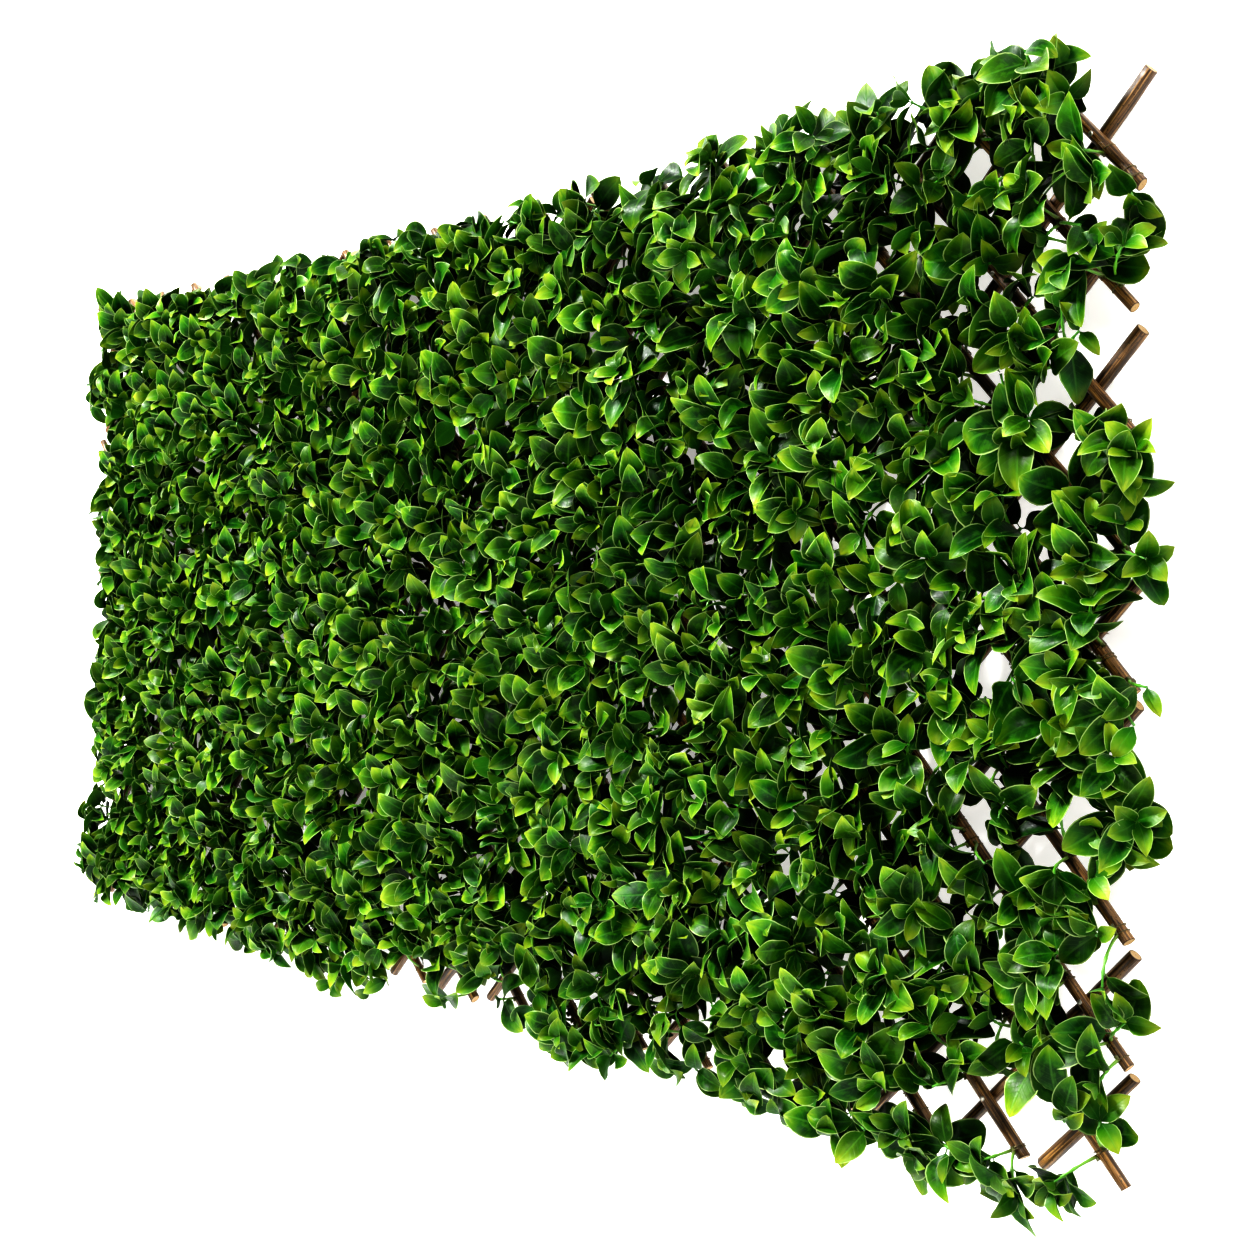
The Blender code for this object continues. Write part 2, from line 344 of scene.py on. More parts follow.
def leaf_material():
    """Soft moulded leaf: dark and satin in the middle, lime at the tip and foot, with a fine pale edge. leaf_a holds
    the place along the leaf from 0 to 1, across it from -1 to 1, and 1 on its upper side. leaf_b holds its age, 1 for
    a young leaf, and two numbers of its own."""
    m = Tree("leaf_moulded")
    a = m.parts(m.attribute("leaf_a").outputs["Vector"])
    b = m.parts(m.attribute("leaf_b").outputs["Vector"])
    along, across, top = a[0], a[1], a[2]
    age, chance, shade = b[0], b[1], b[2]
    off = m.math("ABSOLUTE", across)

    spot = m.vector(
        m.math("MULTIPLY", along, 3.2),
        m.math("MULTIPLY", across, 1.5),
        m.math("MULTIPLY", chance, 60.0),
    )
    blot = m.noise(spot, 1.0, 2.0, 0.5)
    wander = m.math("MULTIPLY_ADD", blot, 0.34, -0.17)
    more_tip = m.math("MULTIPLY_ADD", shade, 0.16, -0.08)
    place = m.math("ADD", m.math("ADD", along, wander), more_tip, clamp=True)

    old = m.ramp(
        place,
        [
            (0.00, (0.062, 0.160, 0.0050)),
            (0.14, (0.016, 0.082, 0.0030)),
            (0.30, (0.0038, 0.033, 0.0018)),
            (0.55, (0.0034, 0.030, 0.0016)),
            (0.70, (0.0120, 0.077, 0.0026)),
            (0.84, (0.061, 0.150, 0.0040)),
            (1.00, (0.180, 0.244, 0.0170)),
        ],
    )
    young = m.ramp(
        place,
        [
            (0.00, (0.012, 0.070, 0.0030)),
            (0.22, (0.016, 0.090, 0.0032)),
            (0.48, (0.050, 0.150, 0.0044)),
            (0.75, (0.144, 0.232, 0.0140)),
            (1.00, (0.236, 0.286, 0.0240)),
        ],
    )
    # blots of a fresher green in the dark middle of an old leaf
    patch = m.noise(
        m.vector(
            m.math("MULTIPLY", along, 5.5),
            m.math("MULTIPLY", across, 2.1),
            m.math("MULTIPLY_ADD", chance, 80.0, 7.0),
        ),
        1.0,
        2.0,
        0.5,
    )
    old = m.mix(m.step(patch, 0.49, 0.67, 0.0, 0.70), old, (0.026, 0.110, 0.0036))
    colour = m.mix(age, old, young)
    # towards its edge a leaf is lighter, more so near the tip
    side = m.step(off, 0.45, 1.0, 0.0, 0.30)
    colour = m.mix(
        m.math("MULTIPLY", side, m.span(place, 0.2, 0.9, 0.25, 1.0)),
        colour,
        (0.085, 0.205, 0.008),
    )
    # the midrib and the side veins
    rib = m.step(off, 0.035, 0.10, 1.0, 0.0)
    slant = m.math(
        "SUBTRACT",
        m.math("MULTIPLY", along, 9.0),
        m.math("MULTIPLY", off, 1.9),
    )
    wave = m.math("PINGPONG", slant, 0.5)
    vein = m.math(
        "MULTIPLY", m.step(wave, 0.0, 0.075, 1.0, 0.0), m.step(off, 0.80, 0.95, 1.0, 0.0)
    )
    marks = m.math("MAXIMUM", m.math("MULTIPLY", rib, 0.30), m.math("MULTIPLY", vein, 0.11))
    colour = m.mix(marks, colour, (0.080, 0.240, 0.028))
    # the fine pale edge
    edge = m.step(off, 0.90, 0.97, 0.0, 0.72)
    colour = m.mix(edge, colour, (0.330, 0.440, 0.170))
    # the underside is paler and duller
    under = m.math("MULTIPLY", m.math("SUBTRACT", 1.0, top, clamp=True), 0.62)
    colour = m.mix(under, colour, (0.040, 0.140, 0.014))
    hue = m.t.nodes.new("ShaderNodeHueSaturation")
    m.put(hue.inputs["Hue"], m.span(chance, 0.0, 1.0, 0.488, 0.510))
    m.put(hue.inputs["Saturation"], 1.0)
    m.put(hue.inputs["Value"], m.span(shade, 0.0, 1.0, 0.76, 1.20))
    m.put(hue.inputs["Color"], colour)
    # painted shade: leaves close to the rods are painted darker, down to 0.22 of their colour, as if in the shade of
    # the leaves in front of them; at the top, bottom and right border of the foliage less so
    where = m.t.nodes.new("ShaderNodeTexCoord")
    spot_x, spot_y, spot_z = m.parts(where.outputs["Object"])
    out = m.math("MULTIPLY", spot_y, -1.0)
    painted_shade = m.step(out, 0.012, 0.048, 0.22, 1.0)
    painted_shade = m.math("MAXIMUM", painted_shade, m.step(m.math("ABSOLUTE", spot_z), 0.445, 0.505, 0.0, 0.78))
    painted_shade = m.math("MAXIMUM", painted_shade, m.step(spot_x, 0.90, 0.99, 0.0, 0.72))
    shaded = m.mix(1.0, hue.outputs[0], m.vector(painted_shade, painted_shade, painted_shade), blend="MULTIPLY")
    m.link(shaded, m.bsdf.inputs["Base Color"])
    grain = m.noise(
        m.vector(
            m.math("MULTIPLY", along, 22.0),
            m.math("MULTIPLY", across, 10.0),
            m.math("MULTIPLY", chance, 90.0),
        ),
        1.0,
        2.0,
        0.5,
    )
    m.link(
        m.math("ADD", m.span(grain, 0.3, 0.7, 0.31, 0.46), m.math("MULTIPLY", under, 0.25)),
        m.bsdf.inputs["Roughness"],
    )
    height = m.math(
        "ADD",
        m.math("ADD", m.math("MULTIPLY", vein, -0.5), m.math("MULTIPLY", rib, -0.8)),
        m.math("MULTIPLY", grain, 0.35),
    )
    m.link(m.bump(height, 0.55, 0.00025), m.bsdf.inputs["Normal"])
    m.bsdf.inputs["IOR"].default_value = 1.47
    m.bsdf.inputs["Specular IOR Level"].default_value = 0.17
    return m.mat


def stem_material():
    m = Tree("stem_moulded")
    s = m.parts(m.attribute("stem_a").outputs["Vector"])
    n = m.noise(
        m.vector(m.math("MULTIPLY", s[0], 9.0), s[1], m.math("MULTIPLY", s[2], 40.0)),
        1.0,
        2.0,
    )
    colour = m.ramp(
        m.math("ADD", s[0], m.math("MULTIPLY_ADD", n, 0.4, -0.2), clamp=True),
        [
            (0.00, (0.060, 0.050, 0.016)),
            (0.14, (0.100, 0.140, 0.022)),
            (0.30, (0.130, 0.300, 0.030)),
            (0.70, (0.095, 0.290, 0.022)),
            (1.00, (0.045, 0.190, 0.014)),
        ],
    )
    m.link(colour, m.bsdf.inputs["Base Color"])
    m.link(m.span(n, 0.3, 0.7, 0.30, 0.46), m.bsdf.inputs["Roughness"])
    m.link(m.bump(n, 0.4, 0.0002), m.bsdf.inputs["Normal"])
    return m.mat


def bark_material(name, dark, brown, tan, streak_and_highlight):
    """Willow bark: dark brown with golden streaks along the rod, partly the bark's own colour and partly painted
    highlight, small pores across it, and pale wood at the cut ends.
    rod_a holds the place along the rod in metres and the two parts of the place round it, cap is 1 on a cut end, and
    rod_b holds how far out on the cut a point is and the rod's own number."""
    m = Tree(name)
    p = m.parts(m.attribute("rod_a").outputs["Vector"])
    r = m.parts(m.attribute("rod_b").outputs["Vector"])
    cap = m.attribute("cap").outputs["Fac"]
    out, own = r[0], r[1]
    shift = m.math("MULTIPLY", own, 37.0)

    def at(along, around):
        return m.vector(
            m.math("MULTIPLY_ADD", p[0], along, shift),
            m.math("MULTIPLY", p[1], around),
            m.math("MULTIPLY", p[2], around),
        )

    fibre = m.noise(at(18.0, 3.6), 1.0, 4.0, 0.62)
    patch = m.noise(at(9.0, 1.3), 1.0, 3.0, 0.55)
    fine = m.noise(at(120.0, 16.0), 1.0, 3.0, 0.6)
    # the palest, golden stop is partly the bark's own streaks and partly painted highlight
    colour = m.ramp(
        fibre,
        [(0.31, dark), (0.45, brown), (0.56, tan), (0.69, streak_and_highlight)],
    )
    colour = m.mix(m.step(patch, 0.47, 0.70, 0.0, 0.75), colour, dark)
    colour = m.mix(m.step(fine, 0.60, 0.76, 0.0, 0.35), colour, tan)
    # grey-black weathered spots and small cross pores
    pore_at = at(420.0, 4.0)
    pore = m.step(m.noise(pore_at, 1.0, 1.0, 0.4), 0.63, 0.72, 0.0, 0.8)
    colour = m.mix(pore, colour, (0.010, 0.007, 0.005))
    # the cut end: pale wood with growth rings inside a dark ring of bark
    rings = m.math("PINGPONG", m.math("MULTIPLY_ADD", out, 5.0, m.math("MULTIPLY", fibre, 0.6)), 0.5)
    wood = m.mix(m.step(rings, 0.0, 0.5), (0.30, 0.185, 0.070), (0.47, 0.32, 0.140))
    wood = m.mix(m.step(out, 0.0, 0.17, 0.75, 0.0), wood, (0.16, 0.085, 0.030))
    wood = m.mix(m.step(out, 0.78, 0.90), wood, (0.045, 0.024, 0.012))
    colour = m.mix(cap, colour, wood)
    m.link(colour, m.bsdf.inputs["Base Color"])
    m.link(
        m.math(
            "ADD",
            m.span(fine, 0.3, 0.7, 0.26, 0.44),
            m.math("MULTIPLY", cap, 0.25),
        ),
        m.bsdf.inputs["Roughness"],
    )
    height = m.math(
        "ADD",
        m.math("ADD", fibre, m.math("MULTIPLY", fine, 0.35)),
        m.math("MULTIPLY", pore, -0.35),
    )
    m.link(m.bump(height, 0.8, 0.0006), m.bsdf.inputs["Normal"])
    return m.mat


def metal_material(name, colour, worn, roughness):
    m = Tree(name)
    c = m.t.nodes.new("ShaderNodeTexCoord")
    n = m.noise(c.outputs["Object"], 900.0, 3.0)
    m.link(m.mix(m.step(n, 0.42, 0.68), colour, worn), m.bsdf.inputs["Base Color"])
    m.link(m.span(n, 0.3, 0.7, roughness - 0.06, roughness + 0.16), m.bsdf.inputs["Roughness"])
    m.bsdf.inputs["Metallic"].default_value = 0.9
    m.link(m.bump(n, 0.3, 0.0001), m.bsdf.inputs["Normal"])
    return m.mat


LEAF = leaf_material()
STEM = stem_material()
FRONT_BARK = bark_material(
    "bark_front", (0.017, 0.0090, 0.0043), (0.072, 0.036, 0.0125), (0.235, 0.124, 0.0380), (0.560, 0.330, 0.1150)
)
# painted shade: the back rods' bark is the front rods' bark painted about a quarter darker, for the shade of the layer
# behind
BACK_BARK_SHADED = bark_material(
    "bark_back_shaded", (0.014, 0.0075, 0.0038), (0.052, 0.026, 0.0095), (0.170, 0.090, 0.0290), (0.430, 0.250, 0.0900)
)
NAIL = metal_material("nail_steel", (0.56, 0.53, 0.46), (0.30, 0.26, 0.20), 0.32)
TIE = metal_material("tie_wire", (0.16, 0.14, 0.075), (0.07, 0.05, 0.025), 0.38)


# ---------------------------------------------------------------- where the rods are
def rod_line(node):
    """A rod's two ends on its centreline, left end first, and its radius at each."""
    co = np.array([v.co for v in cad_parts[node].data.vertices], float)
    middle = co.mean(0)
    d = np.linalg.svd(co - middle, full_matrices=False)[2][0]
    d = d if d[0] > 0 else -d
    t = (co - middle) @ d
    found = []
    for ring in (co[t < t.min() + 0.0015], co[t > t.max() - 0.0015]):
        at = (ring.min(0) + ring.max(0)) / 2
        found.append((at, (ring[:, 1].max() - ring[:, 1].min()) / 2))
    return found[0][0], found[1][0], found[0][1], found[1][1]


class Rod:
    def __init__(self, node, side, number):
        self.node, self.side, self.number = node, side, number
        self.a, self.b, self.ra, self.rb = rod_line(node)
        self.length = float(np.linalg.norm(self.b - self.a))
        flat = self.b - self.a
        flat[1] = 0
        self.d = flat / np.linalg.norm(flat)
        self.across = np.cross(self.d, Y)  # in the panel, upwards for a rod that runs level
        self.across = self.across if self.across[2] > 0 else -self.across
        self.crossings = []  # (distance from end a, other rod)
        self.bare_a = self.bare_b = 0.0  # how much of each end no leaf hides

    def radius(self, t):
        return self.ra + (self.rb - self.ra) * (t / self.length)

    def centre(self, t):
        """The centreline at distance t from end a."""
        p = self.a + self.d * t
        p[1] = self.side * (self.radius(t) + 0.00015)
        return p


FRONT = [Rod(f"front_rod_{i:02d}", -1, i) for i in range(1, 28)]
BACK = [Rod(f"back_rod_{i:02d}", 1, i) for i in range(1, 28)]
for f in FRONT:
    for b in BACK:
        m = np.array([[f.d[0], -b.d[0]], [f.d[2], -b.d[2]]])
        s, t = np.linalg.solve(m, np.array([b.a[0] - f.a[0], b.a[2] - f.a[2]]))
        if 0.02 < s < f.length - 0.02 and 0.02 < t < b.length - 0.02:
            f.crossings.append((s, b))
            b.crossings.append((t, f))
    f.crossings.sort(key=lambda c: c[0])


# ---------------------------------------------------------------- rods with bark
def bark_rod(rod, material):
    rng = np.random.default_rng(5000 + rod.number + (100 if rod.side > 0 else 0))
    n = max(6, int(rod.length / RING_STEP))
    t = np.linspace(0, 1, n) * rod.length
    t[1:-1] += rng.uniform(-0.25, 0.25, n - 2) * RING_STEP
    angle = np.arange(ROD_SIDES) / ROD_SIDES * 2 * math.pi
    r = (rod.ra + (rod.rb - rod.ra) * t / rod.length)[:, None] * np.ones(ROD_SIDES)
    # a little out of round, with shallow ridges that wander along the rod
    phase = rng.uniform(0, 2 * math.pi, 6)
    r *= 1 - 0.010 + 0.018 * np.cos(2 * (angle[None] - phase[0] - 1.5 * t[:, None]))
    for k, (waves, size) in enumerate(((3, 0.010), (5, 0.009), (7, 0.008))):
        r *= 1 + size * np.sin(
            waves * angle[None] + phase[k + 1] + 7 * np.sin(t[:, None] * (2.2 + k) + phase[4])
        ) * np.sin(t[:, None] * (19 + 7 * k) + phase[5])
    r *= 1 + 0.012 * rng.standard_normal(r.shape) * 0.5
    # knots: a low swelling, with a bud scar on one side of it
    at = rng.uniform(0.03, 0.10)
    while at < rod.length - 0.02:
        if min([abs(at - c[0]) for c in rod.crossings] + [1]) > 0.014:
            near = np.exp(-(((t - at) / 0.0075) ** 2))[:, None]
            where = rng.uniform(0, 2 * math.pi)
            turn = np.abs((angle - where + math.pi) % (2 * math.pi) - math.pi)[None]
            r += near * rng.uniform(0.0001, 0.0004)
            r += (
                np.exp(-(((t - at) / 0.0045) ** 2))[:, None]
                * np.exp(-((turn / 0.42) ** 2))
                * rng.uniform(0.0005, 0.0013)
            )
        at += rng.uniform(0.055, 0.16)
    out = np.cos(angle)[None, :, None] * Y + np.sin(angle)[None, :, None] * rod.across
    sway = 0.0005 * np.sin(t * rng.uniform(6, 11) + phase[0]) + 0.0003 * np.sin(
        t * rng.uniform(18, 26) + phase[2]
    )
    middle = (
        rod.a[None] * [1, 0, 1]
        + rod.d[None] * t[:, None]
        + rod.across[None] * sway[:, None]
    )
    middle[:, 1] = rod.side * (
        rod.ra + (rod.rb - rod.ra) * t / rod.length + 0.00015
    )
    ring = middle[:, None] + out * r[..., None]
    # slanting saw cuts, each inside the rod's own length
    for end, sign in ((0, 1), (-1, -1)):
        lean = rng.uniform(0, 2 * math.pi)
        slope = math.tan(math.radians(rng.uniform(2, 13)))
        push = r[end] * slope * (1 + np.cos(angle - lean))
        fade = 1.0
        for k in range(0, 3):
            index = k if end == 0 else -1 - k
            ring[index] += rod.d * (sign * push * fade)[:, None]
            fade *= 0.35
    # the inner side never passes the plane between the layers
    limit = rod.side * LAYER_PLANE_GAP
    ring[..., 1] = (
        np.minimum(ring[..., 1], limit) if rod.side < 0 else np.maximum(ring[..., 1], limit)
    )
    rings, radial = [], []
    for end, sign in ((0, -1), (-1, 1)):
        centre = ring[end].mean(0)
        layers = []
        for share, lift in ((0.965, 0.00035), (0.60, 0.0004), (0.25, 0.0003)):
            layers.append(
                (centre + (ring[end] - centre) * share + rod.d * (sign * lift), share)
            )
        rings.append(layers)
        radial.append(centre + rod.d * (sign * 0.00025))
    start = [layer for layer, _ in rings[0]][::-1]
    finish = [layer for layer, _ in rings[1]]
    body = np.concatenate([np.stack(start), ring, np.stack(finish)])
    total = len(body)
    verts = np.concatenate([body.reshape(-1, 3), radial[0][None], radial[1][None]])
    quads = ring_faces(total, ROD_SIDES)
    last = total * ROD_SIDES
    a = np.arange(ROD_SIDES)
    fan_a = np.stack([np.full(ROD_SIDES, last), (a + 1) % ROD_SIDES, a], -1)
    top = (total - 1) * ROD_SIDES
    fan_b = np.stack([np.full(ROD_SIDES, last + 1), top + a, top + (a + 1) % ROD_SIDES], -1)
    # the direction of the rings: Y to across must turn left about d
    if np.dot(np.cross(Y, rod.across), rod.d) < 0:
        quads, fan_a, fan_b = quads[:, ::-1], fan_a[:, ::-1], fan_b[:, ::-1]
    along = np.concatenate([[0] * 3, t, [rod.length] * 3])
    share = np.concatenate([[0.25, 0.60, 0.965], np.ones(n), [0.965, 0.60, 0.25]])
    cap_ring = np.concatenate([[1, 1, 1], np.zeros(n), [1, 1, 1]])
    grid = np.repeat(along, ROD_SIDES)
    round_ = np.tile(np.stack([np.cos(angle), np.sin(angle)], -1), (total, 1))
    scale = np.repeat(share, ROD_SIDES)[:, None]
    point_a = np.concatenate(
        [
            np.concatenate([grid[:, None], round_ * scale], 1),
            [[0, 0, 0], [rod.length, 0, 0]],
        ]
    )
    point_b = np.concatenate(
        [
            np.stack(
                [np.repeat(share, ROD_SIDES), np.full(total * ROD_SIDES, own_number(rod)), np.zeros(total * ROD_SIDES)],
                -1,
            ),
            [[0, own_number(rod), 0]] * 2,
        ]
    )
    first_face = np.repeat(np.arange(total - 1), ROD_SIDES)
    on_cap = (cap_ring[first_face] + cap_ring[first_face + 1] > 0).astype(float)
    # the bake map: the rod's side in rows, each a stretch of it, and the two cuts beside them
    circ = 2 * math.pi * (rod.ra + rod.rb) / 2
    rows = max(1, round(math.sqrt(rod.length / circ)))
    row_of = np.minimum((np.arange(total - 1) * rows) // (total - 1), rows - 1)
    first_of = np.array([np.argmax(row_of == k) for k in range(rows)])
    last_of = np.array([total - 1 - np.argmax(row_of[::-1] == k) - 1 + 1 for k in range(rows)])
    flat = along + np.concatenate([[-0.012, -0.008, -0.002], np.zeros(n), [0.002, 0.008, 0.012]])
    height = 0.93 / rows
    uv = np.zeros((total - 1, ROD_SIDES, 4, 2))
    for k in range(total - 1):
        row = row_of[k]
        low, high = flat[first_of[row]], flat[last_of[row]]
        u0 = 0.01 + 0.98 * (flat[k] - low) / (high - low)
        u1 = 0.01 + 0.98 * (flat[k + 1] - low) / (high - low)
        v = 0.01 + row * height + (height - 0.012) * np.arange(ROD_SIDES + 1) / ROD_SIDES
        uv[k, :, 0] = np.stack([np.full(ROD_SIDES, u0), v[:-1]], -1)
        uv[k, :, 1] = np.stack([np.full(ROD_SIDES, u0), v[1:]], -1)
        uv[k, :, 2] = np.stack([np.full(ROD_SIDES, u1), v[1:]], -1)
        uv[k, :, 3] = np.stack([np.full(ROD_SIDES, u1), v[:-1]], -1)
    uv = uv.reshape(-1, 4, 2)
    disc = []
    for x in (0.03, 0.08):
        c = np.array([x, 0.972])
        rim = c + 0.02 * np.stack([np.cos(angle), np.sin(angle)], -1)
        nxt = np.roll(rim, -1, 0)
        disc.append(
            np.stack([np.tile(c, (ROD_SIDES, 1)), nxt, rim] if x < 0.05 else [np.tile(c, (ROD_SIDES, 1)), rim, nxt], 1)
        )
    if np.dot(np.cross(Y, rod.across), rod.d) < 0:
        uv = uv[:, ::-1]
        disc = [x[:, ::-1] for x in disc]
    made = Builder()
    made.add(
        verts,
        [quads, fan_a, fan_b],
        [uv, disc[0], disc[1]],
        point={"rod_a": point_a, "rod_b": point_b},
        corner={
            "cap": [
                np.repeat(on_cap, 4),
                np.ones(fan_a.size),
                np.ones(fan_b.size),
            ]
        },
    )
    name = ("willow_front_" if rod.side < 0 else "willow_back_") + f"{rod.number:02d}"
    obj = made.mesh(name, [material], sharp=48)
    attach(obj, rod.node)
    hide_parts(rod.node)
    return obj


def own_number(rod):
    return rod.number / 27 + (0.5 if rod.side > 0 else 0.0)


for rod in FRONT:
    bark_rod(rod, FRONT_BARK)
for rod in BACK:
    bark_rod(rod, BACK_BARK_SHADED)


# ---------------------------------------------------------------- tubes: stems, ties, nail shanks
def tube(path, radii, sides, closed=False):
    """The rings of vertices of a tube along a path, one ring at each of its points; closed is for a path that runs
    round in a loop.
    """
    path = np.asarray(path, float)
    if closed:
        ahead = np.roll(path, -1, 0) - np.roll(path, 1, 0)
    else:
        ahead = np.gradient(path, axis=0)
    ahead = unit(ahead)
    side = np.cross(ahead[0], [0.31, 0.54, 0.78])
    if np.linalg.norm(side) < 0.1:
        side = np.cross(ahead[0], [1.0, 0, 0])
    side = unit(side)
    sides_of = []
    for d in ahead:
        side = unit(side - d * (side @ d))
        sides_of.append(side)
    sides_of = np.array(sides_of)
    other = np.cross(ahead, sides_of)
    angle = np.arange(sides) / sides * 2 * math.pi
    ring = (
        path[:, None]
        + (
            np.cos(angle)[None, :, None] * sides_of[:, None]
            + np.sin(angle)[None, :, None] * other[:, None]
        )
        * np.broadcast_to(radii, len(path))[:, None, None]
    )
    return ring


def add_tube(made, path, radii, sides, cell, size, closed=False, point=None, mat=0):
    ring = tube(path, radii, sides, closed)
    n = len(ring)
    a = np.arange(sides)
    if closed:
        k = np.arange(n)[:, None] * sides
        k2 = ((np.arange(n) + 1) % n)[:, None] * sides
        b = (a + 1) % sides
        quads = np.stack(
            [k + a[None], k + b[None], k2 + b[None], k2 + a[None]], -1
        ).reshape(-1, 4)
        rows = n
    else:
        quads = ring_faces(n, sides)
        rows = n - 1
    u = np.arange(rows + 1) / rows * 0.88 + 0.06
    v = np.arange(sides + 1) / sides * 0.78 + 0.04
    uv = np.zeros((rows, sides, 4, 2))
    uv[..., 0, 0] = uv[..., 1, 0] = u[:-1, None]
    uv[..., 2, 0] = uv[..., 3, 0] = u[1:, None]
    uv[..., 0, 1] = uv[..., 3, 1] = v[None, :-1]
    uv[..., 1, 1] = uv[..., 2, 1] = v[None, 1:]
    faces, places = [quads], [uv.reshape(-1, 4, 2)]
    if not closed:
        disc = np.stack([np.cos(a / sides * 6.2832), np.sin(a / sides * 6.2832)], -1) * 0.06
        faces.append(a[None, ::-1])
        places.append((disc[::-1] + [0.15, 0.91])[None])
        faces.append((a + (n - 1) * sides)[None])
        places.append((disc + [0.35, 0.91])[None])
    made.add(
        ring.reshape(-1, 3),
        faces,
        [cell + p * size for p in places],
        mat=mat,
        point=point(n, sides) if point else None,
    )


# ---------------------------------------------------------------- leaves
class LeafKind:
    """The grid of one kind of leaf: places along and across it, faces and bake map of one leaf."""

    COLUMNS = np.array([-1.0, -0.55, 0.0, 0.55, 1.0])

    def __init__(self, along):
        self.along = np.array(along)
        n, c = len(along), len(self.COLUMNS)
        self.n, self.c = n, c
        top = np.arange(n * c).reshape(n, c)
        bottom = top + n * c
        faces, uvs = [], []

        def place(index, upper, out=(0.0, 0.0)):
            i, j = divmod(int(index) % (n * c), c)
            u = 0.05 + 0.90 * self.along[i]
            v = 0.25 + 0.19 * self.COLUMNS[j]
            u += out[0] * 0.028
            v += out[1] * 0.035
            return (u, v + (0.5 if upper else 0.0))

        for i in range(n - 1):
            for j in range(c - 1):
                q = [top[i, j], top[i + 1, j], top[i + 1, j + 1], top[i, j + 1]]
                faces.append(q)
                uvs.append([place(x, True) for x in q])
                q = [bottom[i, j], bottom[i, j + 1], bottom[i + 1, j + 1], bottom[i + 1, j]]
                faces.append(q)
                uvs.append([place(x, False) for x in q])
            q = [top[i, -1], top[i + 1, -1], bottom[i + 1, -1], bottom[i, -1]]
            faces.append(q)
            uvs.append(
                [place(q[0], True), place(q[1], True), place(q[1], True, (0, 1)), place(q[0], True, (0, 1))]
            )
            q = [top[i + 1, 0], top[i, 0], bottom[i, 0], bottom[i + 1, 0]]
            faces.append(q)
            uvs.append(
                [place(q[0], True), place(q[1], True), place(q[1], True, (0, -1)), place(q[0], True, (0, -1))]
            )
        for j in range(c - 1):
            q = [top[0, j], top[0, j + 1], bottom[0, j + 1], bottom[0, j]]
            faces.append(q)
            uvs.append(
                [place(q[0], True), place(q[1], True), place(q[1], True, (-1, 0)), place(q[0], True, (-1, 0))]
            )
            q = [top[-1, j], bottom[-1, j], bottom[-1, j + 1], top[-1, j + 1]]
            faces.append(q)
            uvs.append(
                [place(q[0], True), place(q[0], True, (1, 0)), place(q[3], True, (1, 0)), place(q[3], True)]
            )
        self.faces, self.uvs = np.array(faces), np.array(uvs)


BIG = LeafKind([0.0, 0.045, 0.10, 0.17, 0.26, 0.36, 0.47, 0.58, 0.68, 0.78, 0.87, 0.94, 1.0])
SMALL = LeafKind([0.0, 0.09, 0.20, 0.34, 0.50, 0.66, 0.83, 1.0])


def shape_of(kind, leaves):
    """The points of every leaf of one kind, upper side first. leaves is a dict of arrays, one row for each leaf."""
    n = len(leaves["length"])
    s = kind.along
    e1, nrm = unit(leaves["along"]), leaves["normal"]
    nrm = unit(nrm - e1 * (nrm * e1).sum(1)[:, None])
    e2 = np.cross(nrm, e1)
    length, wide = leaves["length"], leaves["wide"]
    stalk = leaves["stalk"]  # the share of its length that is stalk
    bend, twist, sway = leaves["bend"], leaves["twist"], leaves["sway"]
    # the midrib: it leans back more and more towards the tip
    mid = (s[1:] + s[:-1]) / 2
    gap = np.diff(s)
    lean = bend[:, None] * mid[None] ** leaves["late"][:, None]
    yaw = sway[:, None] * (mid[None] - 0.3)
    step = (
        np.cos(lean)[..., None] * e1[:, None]
        - np.sin(lean)[..., None] * nrm[:, None]
        + np.sin(yaw)[..., None] * e2[:, None]
    ) * (gap[None] * length[:, None])[..., None]
    spine = leaves["at"][:, None] + np.concatenate(
        [np.zeros((n, 1, 3)), np.cumsum(step, 1)], 1
    )
    lean_at = bend[:, None] * s[None] ** leaves["late"][:, None]
    up = np.cos(lean_at)[..., None] * nrm[:, None] + np.sin(lean_at)[..., None] * e1[:, None]
    turn = (twist[:, None] * s[None])[..., None]
    right = e2[:, None] * np.cos(turn) + up * np.sin(turn)
    up = up * np.cos(turn) - e2[:, None] * np.sin(turn)
    # the outline: a short stalk, then an oval blade with a drawn-out tip
    blade = np.clip((s[None] - stalk[:, None]) / (1 - stalk[:, None]), 0, 1)
    point = leaves["point"][:, None]
    shape = blade**0.60 * (1 - blade) ** point
    peak = 0.60 / (0.60 + point)
    shape /= peak**0.60 * (1 - peak) ** point
    half = np.maximum(wide[:, None] * shape, 0.00055 - 0.00035 * s[None])
    # across: folded along the midrib and cupped, with a slightly wavy edge
    t = kind.COLUMNS
    fold, cup = leaves["fold"][:, None, None], leaves["cup"][:, None, None]
    rise = fold * np.abs(t) + cup * t**2
    rise = rise * (0.55 + 0.45 * np.sin(np.clip(blade, 0, 1) * math.pi))[..., None]
    ripple = leaves["ripple"][:, None, None] * np.sin(
        blade[..., None] * leaves["waves"][:, None, None] + t * 1.7 + leaves["phase"][:, None, None]
    )
    rise = rise + ripple * np.abs(t) ** 3
    level = t / np.sqrt(1 + (fold + cup * np.abs(t)) ** 2)
    top = (
        spine[:, :, None]
        + right[:, :, None] * (level * half[..., None])[..., None]
        + up[:, :, None] * (rise * half[..., None])[..., None]
    )
    thick = 0.00030 + 0.00035 * (1 - np.abs(t)) ** 2 * (1 - 0.6 * s[:, None])
    thick = thick[None] + (0.0006 * np.exp(-((s / 0.07) ** 2)))[None, :, None]
    bottom = top - up[:, :, None] * thick[..., None]
    return settle(np.stack([top, bottom], 1).reshape(n, -1, 3), leaves["floor"])


